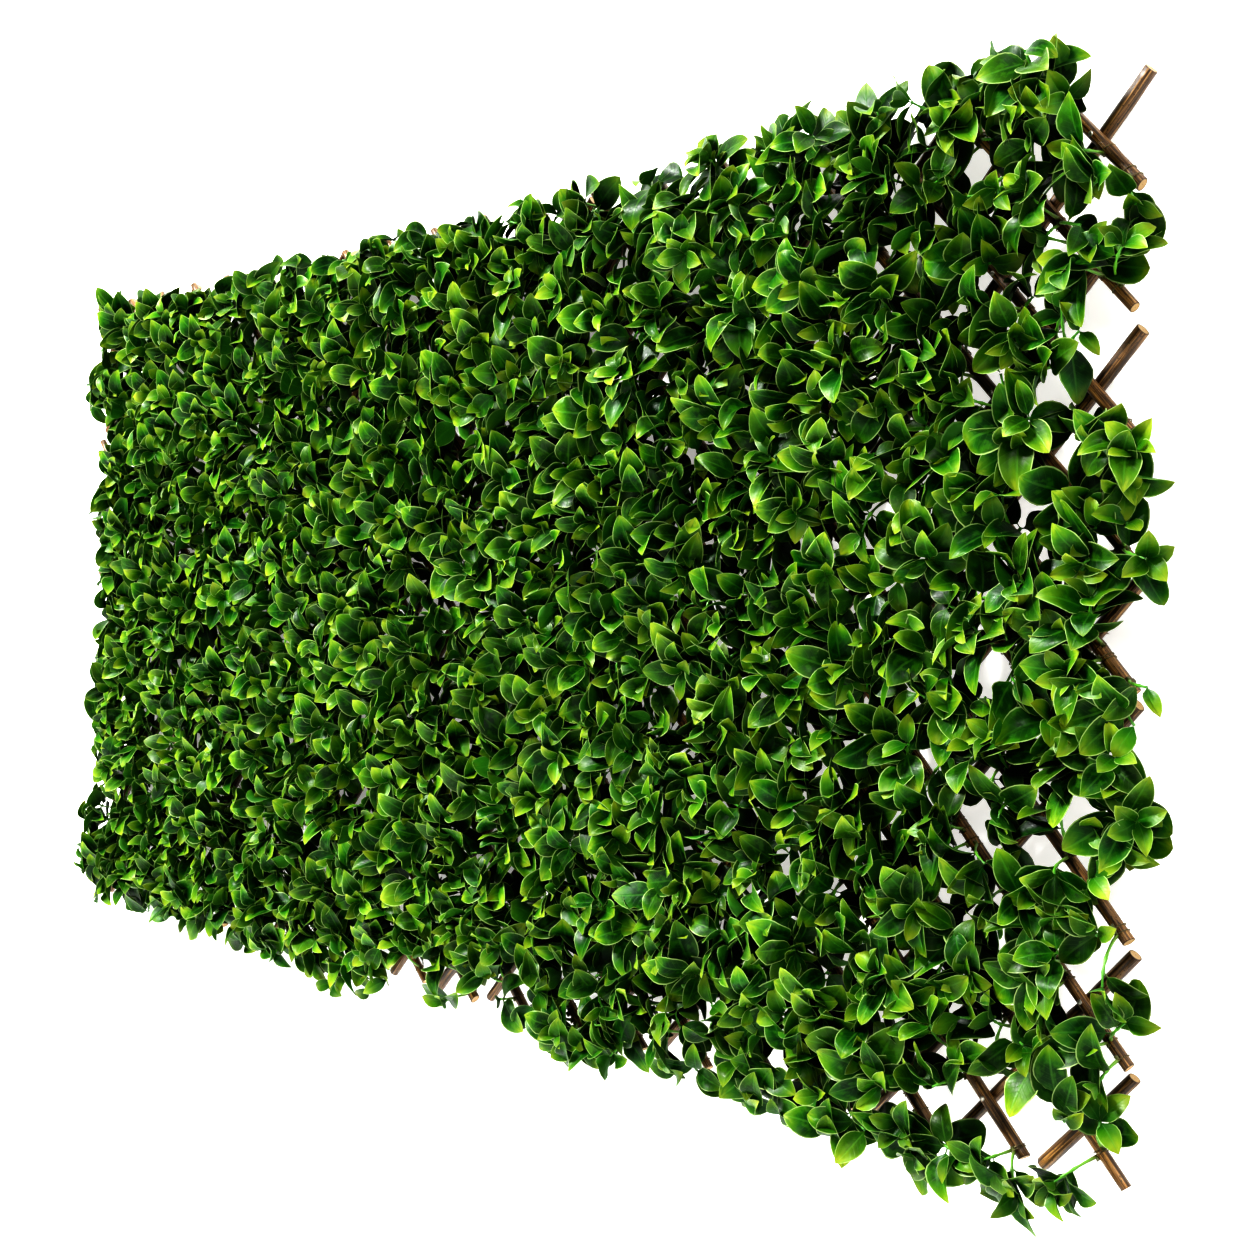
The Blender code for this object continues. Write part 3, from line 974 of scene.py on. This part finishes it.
def grow(made, kind, leaves, first_cell, cells):
    """Adds every leaf of one kind."""
    n = len(leaves["length"])
    if not n:
        return
    verts = shape_of(kind, leaves)
    s, t = kind.along, kind.COLUMNS
    count, columns = kind.n, kind.c
    per = verts.shape[1]
    a = np.zeros((n, 2, count, columns, 3))
    a[..., 0] = s[None, None, :, None]
    a[..., 1] = t
    a[:, 0, ..., 2] = 1
    b = np.zeros((n, per, 3))
    b[..., 0] = leaves["age"][:, None]
    b[..., 1] = leaves["chance"][:, None]
    b[..., 2] = leaves["shade"][:, None]
    faces = (kind.faces[None] + np.arange(n)[:, None, None] * per).reshape(-1, 4)
    grid = math.ceil(math.sqrt(cells))
    index = np.arange(n) + first_cell
    corner = np.stack([index % grid, index // grid], -1) / grid
    uvs = kind.uvs[None] / grid + corner[:, None, None]
    made.add(
        verts.reshape(-1, 3),
        [faces],
        [uvs.reshape(-1, 4, 2)],
        point={"leaf_a": a.reshape(-1, 3), "leaf_b": b.reshape(-1, 3)},
    )


def settle(verts, floor):
    """A leaf that would reach back into the rods lies against them instead, and none reaches past the foliage's
    front or far past the panel's border."""
    y = verts[..., 1]
    low = floor[:, None]
    y = np.where(y > low, low + (y - low) * 0.12, y)
    front = -0.0660
    y = np.where(y < front, front + (y - front) * 0.3, y)
    verts[..., 1] = y
    for axis, low_edge, high_edge in ((0, -0.984, 1.050), (2, -0.550, 0.550)):
        v = verts[..., axis]
        v = v + np.maximum(low_edge - v, 0) * 0.60
        verts[..., axis] = v - np.maximum(v - high_edge, 0) * 0.70
    return verts


# ---------------------------------------------------------------- bare ends of the rods
# how far back from its end a rod is bare, from the top rod down, for those that end at the right
RIGHT_FRONT_BARE = (0.094, 0.050, 0.0, 0.032, 0.026, 0.0, 0.105, 0.125, 0.052)
RIGHT_BACK_BARE = (0.062, 0.0, 0.090, 0.0, 0.0, 0.028, 0.0, 0.030, 0.040)
for rods, lengths in ((FRONT, RIGHT_FRONT_BARE), (BACK, RIGHT_BACK_BARE)):
    ends = sorted((rod for rod in rods if rod.b[0] > 0.95), key=lambda rod: -rod.b[2])
    for rod, bare in zip(ends, lengths):
        rod.bare_b = bare
for rod in FRONT + BACK:
    rng = np.random.default_rng(700 + rod.number + (50 if rod.side > 0 else 0))
    for end, name in ((rod.a, "bare_a"), (rod.b, "bare_b")):
        if end[2] < -0.45 and end[0] < 0.95:
            x = seen_at(end)[0]
            if x >= 860:
                bare = rng.uniform(0.02, 0.09)
            elif 385 < x < 520:
                bare = rng.uniform(0.018, 0.038)
            else:
                bare = rng.uniform(0.012, 0.022) if 604 < x < 735 and rod in FRONT else 0.0
            setattr(rod, name, bare)
BARE = []
for rod in FRONT + BACK:
    for end, inwards, bare in ((rod.a, rod.d, rod.bare_a), (rod.b, -rod.d, rod.bare_b)):
        if bare:
            BARE.append(seen_at(end + inwards * np.arange(0.002, bare, 0.007)[:, None]))
BARE = np.concatenate(BARE)


# ---------------------------------------------------------------- sprays
def whorl(out, rng, path, ring, axis, count, length, width, tilt, start, age, bend, stalk, floor, spray, late=1.3, thin=0.0):
    """A ring of leaves round a stem at one point of its path: each leaves it at tilt above the plane across the
    stem."""
    centre = path[ring]
    side = unit(np.cross(axis, [0.3, 0.2, 0.93]))
    other = np.cross(axis, side)
    for k in range(count):
        if thin and rng.random() < thin:
            continue
        turn = start + (k + rng.uniform(-0.22, 0.22)) * 2 * math.pi / count
        radial = math.cos(turn) * side + math.sin(turn) * other
        up = tilt + rng.uniform(-0.20, 0.20)
        along = radial * math.cos(up) + axis * math.sin(up)
        normal = axis * math.cos(up) - radial * math.sin(up)
        roll = rng.normal(0, 0.20)
        normal = normal * math.cos(roll) + np.cross(along, normal) * math.sin(roll)
        size = length * rng.uniform(0.86, 1.10)
        leaf_age = float(np.clip(age + rng.normal(0, 0.12), 0, 1))
        out["at"].append(centre + radial * 0.0009 + axis * rng.uniform(-0.002, 0.002))
        out["along"].append(along)
        out["normal"].append(normal)
        out["length"].append(size)
        out["wide"].append(size * width * rng.uniform(0.96, 1.20) / 2)
        out["stalk"].append(stalk * rng.uniform(0.8, 1.25))
        wild = rng.random() < 0.22
        out["bend"].append(bend * rng.uniform(0.5, 1.5) + (rng.uniform(0.5, 1.1) if wild else 0.0))
        out["late"].append(late * rng.uniform(0.8, 1.3))
        out["twist"].append(rng.normal(0, 0.30))
        out["sway"].append(rng.normal(0, 0.30))
        out["point"].append(rng.uniform(0.70, 0.98))
        out["fold"].append(rng.uniform(0.10, 0.42) + 0.14 * leaf_age)
        out["cup"].append(rng.uniform(-0.28, 0.30))
        out["ripple"].append(rng.uniform(0.0, 0.15))
        out["waves"].append(rng.uniform(5, 11))
        out["phase"].append(rng.uniform(0, 6.28))
        out["age"].append(leaf_age)
        out["chance"].append(rng.random())
        out["shade"].append(rng.random())
        out["floor"].append(floor)
        out["spray"].append(spray)
        out["ring"].append(ring)


KEYS = (
    "at along normal length wide stalk bend late twist sway point fold cup ripple waves phase age chance shade floor spray ring"
).split()


def bezier(p0, p1, p2, n):
    t = np.linspace(0, 1, n)[:, None]
    return (1 - t) ** 2 * p0 + 2 * t * (1 - t) * p1 + t**2 * p2


class Sprays:
    """The leaves, stems and ties of one front rod. A spray is tied on clear of the crossings, where the rod behind
    swings past when the lattice folds, and its stem leans to where the spray sits: over a crossing, over the middle
    of a stretch, out over the diamond beside the rod, or past the rod's end."""

    STEP = 0.075

    def __init__(self, rod):
        self.rod = rod
        self.rng = np.random.default_rng(9000 + rod.number * 17)
        self.big = {k: [] for k in KEYS}
        self.small = {k: [] for k in KEYS}
        self.stems, self.ties = [], []
        self.marks = [c[0] for c in rod.crossings]
        ends = [0.010 - 0.018] + self.marks + [rod.length - 0.010 + 0.018]
        self.spans = []  # where a tie may sit, between two crossings or a crossing and the rod's end
        for a, b in zip(ends[:-1], ends[1:]):
            room = 0.018 if a is ends[0] or b is ends[-1] else 0.0225
            if b - a > 2 * room:
                self.spans.append((a + room, b - room))

    def tie_near(self, at):
        return min((float(np.clip(at, a, b)) for a, b in self.spans), key=lambda t: abs(t - at))

    def lay_out(self):
        """The sprays along the rod, before the gaps between them are filled."""
        rod, rng, marks, step = self.rod, self.rng, self.marks, self.STEP
        places = []
        for s in marks:
            places.append((s + rng.uniform(-0.010, 0.010), s, "crossing"))
        for s in [marks[0] - step] + marks:
            places.append((s + step / 2 + rng.uniform(-0.010, 0.010), s + step / 2, "stretch"))
            for side in (-1, 1):
                places.append((s + step / 2 + side * 0.019 + rng.uniform(-0.012, 0.012), s + step / 2, "beside"))
        places.append((0.012, 0.024, "end"))
        for at, mark, kind in places:
            if kind != "end" and (at < 0.008 or at > rod.length - 0.008):
                continue
            if kind == "crossing":
                off = rng.uniform(-0.016, 0.016)
            elif kind == "stretch":
                off = rng.uniform(-0.020, 0.020)
            elif kind == "end":
                off = rng.uniform(-0.012, 0.012)
            else:
                off = rng.choice([-1, 1]) * rng.uniform(0.018, 0.036)
            if rod.length - at < rod.bare_b:
                continue
            if kind == "crossing":
                foot_at = mark + rng.choice([-1, 1]) * rng.uniform(0.019, 0.026)
            else:
                foot_at = mark if kind == "end" else mark + rng.uniform(-0.015, 0.015)
            if rng.random() < (0.98 if kind == "crossing" else 0.95):
                lift = rng.uniform(0.020, 0.036) if kind == "crossing" else rng.uniform(0.010, 0.030)
                self.add(kind, at, float(np.clip(foot_at, 0.008, rod.length - 0.008)), off, lift)

    def add(self, kind, at, foot_at, off, lift):
        rod, rng = self.rod, self.rng
        near = float(np.clip(at, 0.0, rod.length))
        top = rod.centre(near) + rod.d * (at - near) + rod.across * off
        top[1] = rod.centre(near)[1] - rod.radius(near) - lift
        if kind != "fill" and (in_opening(top[None, None], -1.0)[0] or not in_outline(seen_at(top))):
            return
        turn = float(np.clip(off / 0.03, -1, 1)) * 0.8 + rng.uniform(-0.4, 0.4)  # round the rod, from its front
        r = rod.radius(foot_at)
        foot = rod.centre(foot_at) + (-Y * math.cos(turn) + rod.across * math.sin(turn)) * (r + 0.0009)
        tail = foot - rod.d * np.sign(at - foot_at + 1e-6) * 0.004
        bow = foot + (top - foot) * 0.35 + (-Y) * lift * 0.55
        path = bezier(foot, bow, top, 9)
        path = np.concatenate([tail[None], path])
        border = top[0] > 0.93 or abs(top[2]) > 0.46 or top[0] < -0.93
        axis = unit(path[-1] - path[-3])
        low = top[2] < -0.45
        own = 0.30 if low else 0.7 if border else 1.0
        forward = 1.0 if low else 0.75 if border else 0.60
        axis = unit(axis * own + np.array([0, -forward, 0]) + rng.normal(0, 0.18 if low else 0.24, 3))
        if border:
            out = np.array([-0.15 if top[0] < -0.93 else 0.12 if top[0] > 0.93 else 0, 0, 0])
            out[2] = 0.35 if top[2] > 0.44 else -0.06 if top[2] < -0.46 else 0
            axis = unit(axis + out)
        floor = -0.0150 - rng.uniform(0, 0.002)
        start = rng.uniform(0, 6.28)
        more_young = 0.88 if top[0] < -0.40 or top[0] > 0.90 else 0.70
        big, small, n = self.big, self.small, len(self.ties)
        if kind in ("crossing", "end") or (kind == "fill" and lift > 0.016):
            whorl(big, rng, path, 5, axis, 5, 0.0570, 0.55, rng.uniform(0.08, 0.28), start, 0.0, 0.50, 0.09, floor, n)
            whorl(big, rng, path, 7, axis, 4, 0.0480, 0.55, rng.uniform(0.38, 0.60), start + 0.7, 0.08, 0.55, 0.08, floor, n, thin=0.1)
            if rng.random() < more_young:
                whorl(small, rng, path, 9, axis, int(rng.integers(3, 6)), 0.0310, 0.57, rng.uniform(0.60, 0.95), start, 0.86, 0.45, 0.06, floor, n)
            else:
                whorl(big, rng, path, 9, axis, 3, 0.0400, 0.53, rng.uniform(0.60, 0.90), start + 0.3, 0.20, 0.5, 0.08, floor, n)
        elif kind == "stretch":
            whorl(big, rng, path, 5, axis, 4, 0.0540, 0.55, rng.uniform(0.04, 0.24), start, 0.0, 0.45, 0.09, floor, n, thin=0.08)
            if rng.random() < more_young - 0.08:
                whorl(small, rng, path, 9, axis, int(rng.integers(3, 5)), 0.0330, 0.57, rng.uniform(0.5, 0.9), start + 0.6, 0.74, 0.5, 0.06, floor, n)
            else:
                whorl(big, rng, path, 9, axis, 3, 0.0440, 0.55, rng.uniform(0.45, 0.75), start + 0.6, 0.12, 0.5, 0.08, floor, n)
        else:
            whorl(big, rng, path, 6, axis, 3, 0.0520, 0.55, rng.uniform(0.10, 0.40), start, 0.0, 0.45, 0.09, floor, n, thin=0.12)
            if rng.random() < more_young - 0.25:
                whorl(small, rng, path, 9, axis, int(rng.integers(2, 5)), 0.0320, 0.57, rng.uniform(0.4, 0.9), start + 0.6, 0.80, 0.5, 0.06, floor, n)
            else:
                whorl(big, rng, path, 9, axis, 2, 0.0460, 0.55, rng.uniform(0.35, 0.75), start + 1.1, 0.15, 0.5, 0.08, floor, n)
        self.stems.append(path)
        self.ties.append((foot_at, turn))

    def kept(self):
        """The leaves that stay, big and small, and the stems, each as far as its last leaves, with their ties."""
        big, small = clear_of_gaps(arrays(self.big)), clear_of_gaps(arrays(self.small))
        count, last = np.zeros(len(self.stems)), np.zeros(len(self.stems), int)
        for leaves in (big, small):
            spray = leaves["spray"].astype(int)
            np.add.at(count, spray, 1)
            np.maximum.at(last, spray, leaves["ring"].astype(int))
        full = count >= 3
        big, small = ({k: v[full[leaves["spray"].astype(int)]] for k, v in leaves.items()} for leaves in (big, small))
        stems = [path[: end + 1] for path, end, ok in zip(self.stems, last, full) if ok]
        return big, small, stems, [t for t, ok in zip(self.ties, full) if ok]


def off_bare(at):
    """How far, in pixels, each place in the frame is from the bare ends."""
    return np.sqrt(((at[..., None, :] - BARE) ** 2).sum(-1)).min(-1)


def room_by_bare(at):
    """How far from the bare ends leaves stay, in pixels."""
    return np.where((at[..., 0] > 560) & (at[..., 0] < 760), 5.0, 7.0)


def clear_of_gaps(leaves):
    """Leaves out those that would cover an opening in the foliage or a bare rod, or reach past its edge."""
    if not len(leaves["length"]):
        return leaves
    along = unit(leaves["along"]) * leaves["length"][:, None]
    drop = unit(leaves["normal"]) * (leaves["length"] * leaves["bend"] * 0.28)[:, None]
    spots = np.stack([leaves["at"] + along * s - drop * s * s for s in (0.3, 0.5, 0.7, 0.85)], 1)
    seen = seen_at(spots)
    stay = ~in_opening(spots, 1.5) & in_outline(seen[:, :3]).all(1) & (off_bare(seen) > room_by_bare(seen)).all(1)
    return {k: v[stay] for k, v in leaves.items()}


# ---------------------------------------------------------------- filling the gaps between the sprays
CELL = 3  # pixels
GRID = 1254 // CELL


def mark(covered, points):
    at = np.floor(seen_at(points.reshape(-1, 3)) / CELL).astype(int)
    at = at[((at >= 0) & (at < GRID)).all(1)]
    covered[at[:, 1], at[:, 0]] = True


def between(n):
    """Weights that put a new point between each two of n."""
    w = np.zeros((2 * n - 1, n))
    w[::2] = np.eye(n)
    w[1::2] = (np.eye(n)[:-1] + np.eye(n)[1:]) / 2
    return w


def covered_by(held):
    """Where in the frame the wall is hidden by leaves or rods."""
    covered = np.zeros((GRID, GRID), bool)
    for rod in FRONT + BACK:
        t = np.arange(0, rod.length, 0.0015)
        line = rod.a + rod.d * t[:, None]
        line[:, 1] = rod.a[1]
        for k in (-0.9, 0.0, 0.9):
            mark(covered, line + rod.across * rod.ra * k)
    for sprays in held:
        for kind, leaves in zip((BIG, SMALL), sprays.kept()[:2]):
            if len(leaves["length"]):
                top = shape_of(kind, leaves)[:, : kind.n * kind.c].reshape(-1, kind.n, kind.c, 3)
                top = np.einsum("ai,bj,nijx->nabx", between(kind.n), between(kind.c), top)
                mark(covered, top)
    return covered


def fill(held, wanted, share, taken):
    """Adds sprays where at least that share of the disc that one would cover shows the wall and shouldn't. taken
    holds the places of those added before."""
    bare = wanted & ~covered_by(held)
    ring = np.arange(16) / 16 * 2 * math.pi
    disc = np.concatenate([np.stack([np.cos(ring), np.sin(ring)], -1) * r for r in (0.010, 0.020, 0.030)])
    disc = np.concatenate([[[0.0, 0.0]], disc])
    choices = []
    for sprays in held:
        rod, rng = sprays.rod, sprays.rng
        for at in np.arange(-0.030, rod.length + 0.034, 0.010):
            tie = sprays.tie_near(at)
            for off in np.arange(-0.040, 0.041, 0.010):
                if math.hypot(at - tie, off) < 0.050:
                    choices.append((sprays, at + rng.uniform(-0.004, 0.004), tie, off + rng.uniform(-0.004, 0.004)))
    tops = np.array([c[0].rod.a + c[0].rod.d * c[1] + c[0].rod.across * c[3] for c in choices])
    tops[:, 1] = -0.030
    spots = np.repeat(tops[:, None], len(disc), 1)
    spots[..., 0] += disc[:, 0]
    spots[..., 2] += disc[:, 1]
    at = np.clip(np.floor(seen_at(spots) / CELL).astype(int), 0, GRID - 1)
    seen = seen_at(tops)
    sound = in_outline(seen) & ~in_opening(tops[:, None], 0.0) & (off_bare(seen) > 1.85 * room_by_bare(seen))
    if share < 0.10:
        sound &= (tops[:, 0] < (0.80 if share > 0.05 else 0.58)) & (np.abs(tops[:, 2]) < 0.44)
    score = bare[at[..., 1], at[..., 0]].mean(1) * sound
    for i in np.argsort(-score, kind="stable"):
        if score[i] < share:
            break
        if bare[at[i, :, 1], at[i, :, 0]].mean() < share:
            continue
        x, z = tops[i, 0], tops[i, 2]
        apart = 0.030 if x > 0.90 or abs(z) > 0.46 else 0.020 if share < 0.10 else 0.026
        if any(math.hypot(x - x1, z - z1) < apart for x1, z1 in taken):
            continue
        sprays, where, tie, off = choices[i]
        lift = sprays.rng.uniform(0.018, 0.034) if score[i] > 0.34 else sprays.rng.uniform(0.006, 0.015)
        sprays.add("fill", where, tie, off, lift)
        bare[at[i, :, 1], at[i, :, 0]] = False
        taken.append((x, z))


def arrays(leaves):
    return {k: np.array(v, float) for k, v in leaves.items()}


LEAF_ROWS = {4: "leaf_row_1", 9: "leaf_row_2", 14: "leaf_row_3", 19: "leaf_row_4", 24: "leaf_row_5"}
held = [Sprays(rod) for rod in FRONT]
for sprays in held:
    sprays.lay_out()
middles = (np.stack(np.meshgrid(np.arange(GRID), np.arange(GRID)), -1) + 0.5) * CELL
gap = (middles[:, :, None] - OPENINGS[:, :2]) / OPENINGS[:, 2:]
wanted = in_outline(middles) & ~((gap**2).sum(-1) < 1).any(-1)
wanted &= np.stack([off_bare(row) for row in middles]) > 5.0
taken = []
for share in (0.32, 0.18, 0.14, 0.07, 0.04):
    fill(held, wanted, share, taken)
leaf_total = spray_total = 0
for sprays in held:
    rod = sprays.rod
    big, small, stems, ties = sprays.kept()
    cells = len(big["length"]) + len(small["length"])
    leaf_total += cells
    spray_total += len(stems)
    made = Builder()
    grow(made, BIG, big, 0, cells)
    grow(made, SMALL, small, len(big["length"]), cells)
    leaves = made.mesh(f"leaves_{rod.number:02d}", [LEAF], sharp=55)
    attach(leaves, rod.node)
    if rod.number in LEAF_ROWS:
        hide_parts(LEAF_ROWS[rod.number])
    anchor = tuple(rod.centre(rod.length / 2))
    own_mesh(leaves)

    made = Builder()
    for n, path in enumerate(stems):
        cell, size = cell_of(n, len(stems))
        k = np.arange(len(path))
        radii = np.interp(k, [0, 1, 3, 9], [0.0021, 0.0019, 0.0013, 0.0009])
        radii = radii + 0.0007 * np.isin(k, (5, 7)) + 0.0004 * (k == len(path) - 1)
        own = (n * 0.618 + rod.number * 0.37) % 1.0

        def attributes(rings, sides, own=own):
            along = np.repeat(np.arange(rings) / (rings - 1), sides)
            around = np.tile(np.arange(sides), rings) * 1.0
            return {"stem_a": np.stack([along, around, np.full(len(along), own)], -1)}

        add_tube(made, path, radii, 7, cell, size, point=attributes)
    stalks = made.mesh(f"stems_{rod.number:02d}", [STEM], sharp=60)
    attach(stalks, rod.node)
    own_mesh(stalks)

    made = Builder()
    for n, (at, turn) in enumerate(ties):
        cell, size = cell_of(n, len(ties))
        angle = np.arange(18) / 18 * 2 * math.pi
        gap = np.abs((angle - turn + math.pi) % (2 * math.pi) - math.pi)
        out = rod.radius(at) + 0.00065 + 0.0024 * np.exp(-((gap / 0.42) ** 2))
        c = rod.centre(at)
        path = (
            c[None]
            + (-Y[None] * np.cos(angle)[:, None] + rod.across[None] * np.sin(angle)[:, None]) * out[:, None]
            + rod.d[None] * (0.0008 * np.sin(angle + turn))[:, None]
        )
        add_tube(made, path, 0.00055, 5, cell, size, closed=True)
    wires = made.mesh(f"ties_{rod.number:02d}", [TIE])
    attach(wires, rod.node)
print("leaves", leaf_total, "sprays", spray_total)


# ---------------------------------------------------------------- nails
def nails_on(rod):
    """One nail through each crossing, with a low domed head in front and its point clinched over behind."""
    rng = np.random.default_rng(300 + rod.number)
    made = Builder()
    spots = [c for c in rod.crossings if not (rod.number == 14 and c[1].number == 14)]
    for n, (at, other) in enumerate(spots):
        cell, size = cell_of(n, len(spots))
        c = rod.centre(at)
        front = c[1] - rod.radius(at)
        behind = 2 * other.radius(float((c - other.a) @ other.d)) + 0.00015
        x = np.array([c[0], 0, c[2]])
        tip = rng.uniform(0, 2 * math.pi)
        flat = rod.d * math.cos(tip) + rod.across * math.sin(tip)
        sit = 0.0001
        back = behind + 0.0012
        path = [
            x + Y * (front - sit - 0.0011),
            x + Y * (front - sit - 0.00095),
            x + Y * (front - sit - 0.0005),
            x + Y * (front - sit),
            x + Y * (front - sit + 0.0001),
            x + Y * (front + 0.004),
            x + Y * (behind - 0.003),
            x + Y * (back - 0.0009),
            x + Y * (back - 0.0002) + flat * 0.0008,
            x + Y * back + flat * 0.0022,
            x + Y * (back + 0.0002) + flat * 0.0055,
            x + Y * (back + 0.0001) + flat * 0.0085,
        ]
        radii = [0.0012, 0.0019, 0.00235, 0.0024, 0.0010, 0.0010, 0.0010, 0.0010, 0.0010, 0.00095, 0.0008, 0.0003]
        add_tube(made, path, radii, 12, cell, size)
    obj = made.mesh(f"nails_{rod.number:02d}", [NAIL], sharp=50)
    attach(obj, rod.node)


for rod in FRONT:
    if [c for c in rod.crossings if not (rod.number == 14 and c[1].number == 14)]:
        nails_on(rod)
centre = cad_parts["centre_nail"]
centre.data.materials.clear()
centre.data.materials.append(NAIL)


# ---------------------------------------------------------------- stage, light and camera
def plain_stage(name, size, colour, matrix, one_sided=False, glow=(0.0, 0.0)):
    """glow is how strongly it glows left of the middle of the panel, and at the panel's right end."""
    me = bpy.data.meshes.new(name)
    s = size / 2
    me.from_pydata(
        [(-s, -s, 0), (s, -s, 0), (s, s, 0), (-s, s, 0)], [], [(0, 1, 2, 3)]
    )
    me.update()
    obj = bpy.data.objects.new(name, me)
    bpy.context.scene.collection.objects.link(obj)
    obj.matrix_world = matrix
    m = Tree(name + "_paint")
    m.bsdf.inputs["Base Color"].default_value = (*colour, 1.0)
    m.bsdf.inputs["Roughness"].default_value = 0.9
    m.bsdf.inputs["Specular IOR Level"].default_value = 0.1
    m.bsdf.inputs["Emission Color"].default_value = (1.0, 0.985, 0.955, 1.0)
    if any(glow):
        right = m.parts(m.t.nodes.new("ShaderNodeNewGeometry").outputs["Position"])[0]
        m.link(m.step(right, 0.10, 0.95, *glow), m.bsdf.inputs["Emission Strength"])
    if one_sided:  # seen from behind it isn't there, so that the panel's back can be looked at
        back = m.t.nodes.new("ShaderNodeNewGeometry").outputs["Backfacing"]
        clear = m.t.nodes.new("ShaderNodeBsdfTransparent")
        mix = m.t.nodes.new("ShaderNodeMixShader")
        m.link(back, mix.inputs[0])
        m.link(m.bsdf.outputs[0], mix.inputs[1])
        m.link(clear.outputs[0], mix.inputs[2])
        m.link(mix.outputs[0], m.t.nodes["Material Output"].inputs[0])
    me.materials.append(m.mat)
    return obj


WALL_Y = 0.030
FLOOR_Z = -1.32
plain_stage("floor", 30.0, (0.80, 0.80, 0.80), Matrix.Translation((0, 0, FLOOR_Z)))
plain_stage(
    "wall",
    30.0,
    (0.90, 0.90, 0.90),
    Matrix.Translation((0, WALL_Y, 0)) @ Matrix.Rotation(math.pi / 2, 4, "X"),
    one_sided=True,
    glow=(0.22, 0.44),
)

world = bpy.data.worlds.new("studio")
world.use_nodes = True
sky = world.node_tree
ground = sky.nodes["Background"]
# a pale room, whose light comes from above
towards = sky.nodes.new("ShaderNodeTexCoord")
height = sky.nodes.new("ShaderNodeSeparateXYZ")
glow = sky.nodes.new("ShaderNodeMapRange")
seen = sky.nodes.new("ShaderNodeLightPath")
either = sky.nodes.new("ShaderNodeMath")
either.operation = "MAXIMUM"
sky.links.new(towards.outputs["Generated"], height.inputs[0])
sky.links.new(height.outputs[2], glow.inputs[0])
for socket, value in zip(glow.inputs[1:5], (0.0, 0.9, 0.03, 0.45)):
    socket.default_value = value
sky.links.new(glow.outputs[0], either.inputs[0])
sky.links.new(seen.outputs["Is Camera Ray"], either.inputs[1])
sky.links.new(either.outputs[0], ground.inputs[1])
ground.inputs[0].default_value = (1.0, 1.0, 1.0, 1.0)
bpy.context.scene.world = world


def soft_light(name, at, towards, size, power):
    data = bpy.data.lights.new(name, "AREA")
    data.shape = "DISK"
    data.size = size
    data.energy = power
    obj = bpy.data.objects.new(name, data)
    bpy.context.scene.collection.objects.link(obj)
    obj.location = at
    obj.rotation_mode = "QUATERNION"
    obj.rotation_quaternion = (Vector(towards) - Vector(at)).to_track_quat("-Z", "Y")


soft_light("key", (-1.6, -3.4, 2.9), (0.1, 0, 0), 1.1, 455)
soft_light("side", (3.4, -2.6, 1.9), (0.4, 0, 0), 1.2, 60)
soft_light("behind", (1.6, 3.4, 1.8), (0, 0, 0), 2.5, 60)

scene = bpy.context.scene
scene.view_settings.view_transform = "Standard"
scene.view_settings.look = "Very High Contrast"

cam_data = bpy.data.cameras.new("camera")
cam_data.sensor_width = 36.0
cam_data.lens = FOCAL / 1254 * 36.0
cam_data.clip_end = 100
cam = bpy.data.objects.new("camera", cam_data)
scene.collection.objects.link(cam)
turn = Matrix((RIGHTWARDS, UPWARDS, -LOOK)).transposed().to_4x4()
cam.matrix_world = Matrix.Translation(PLACE) @ turn
scene.camera = cam
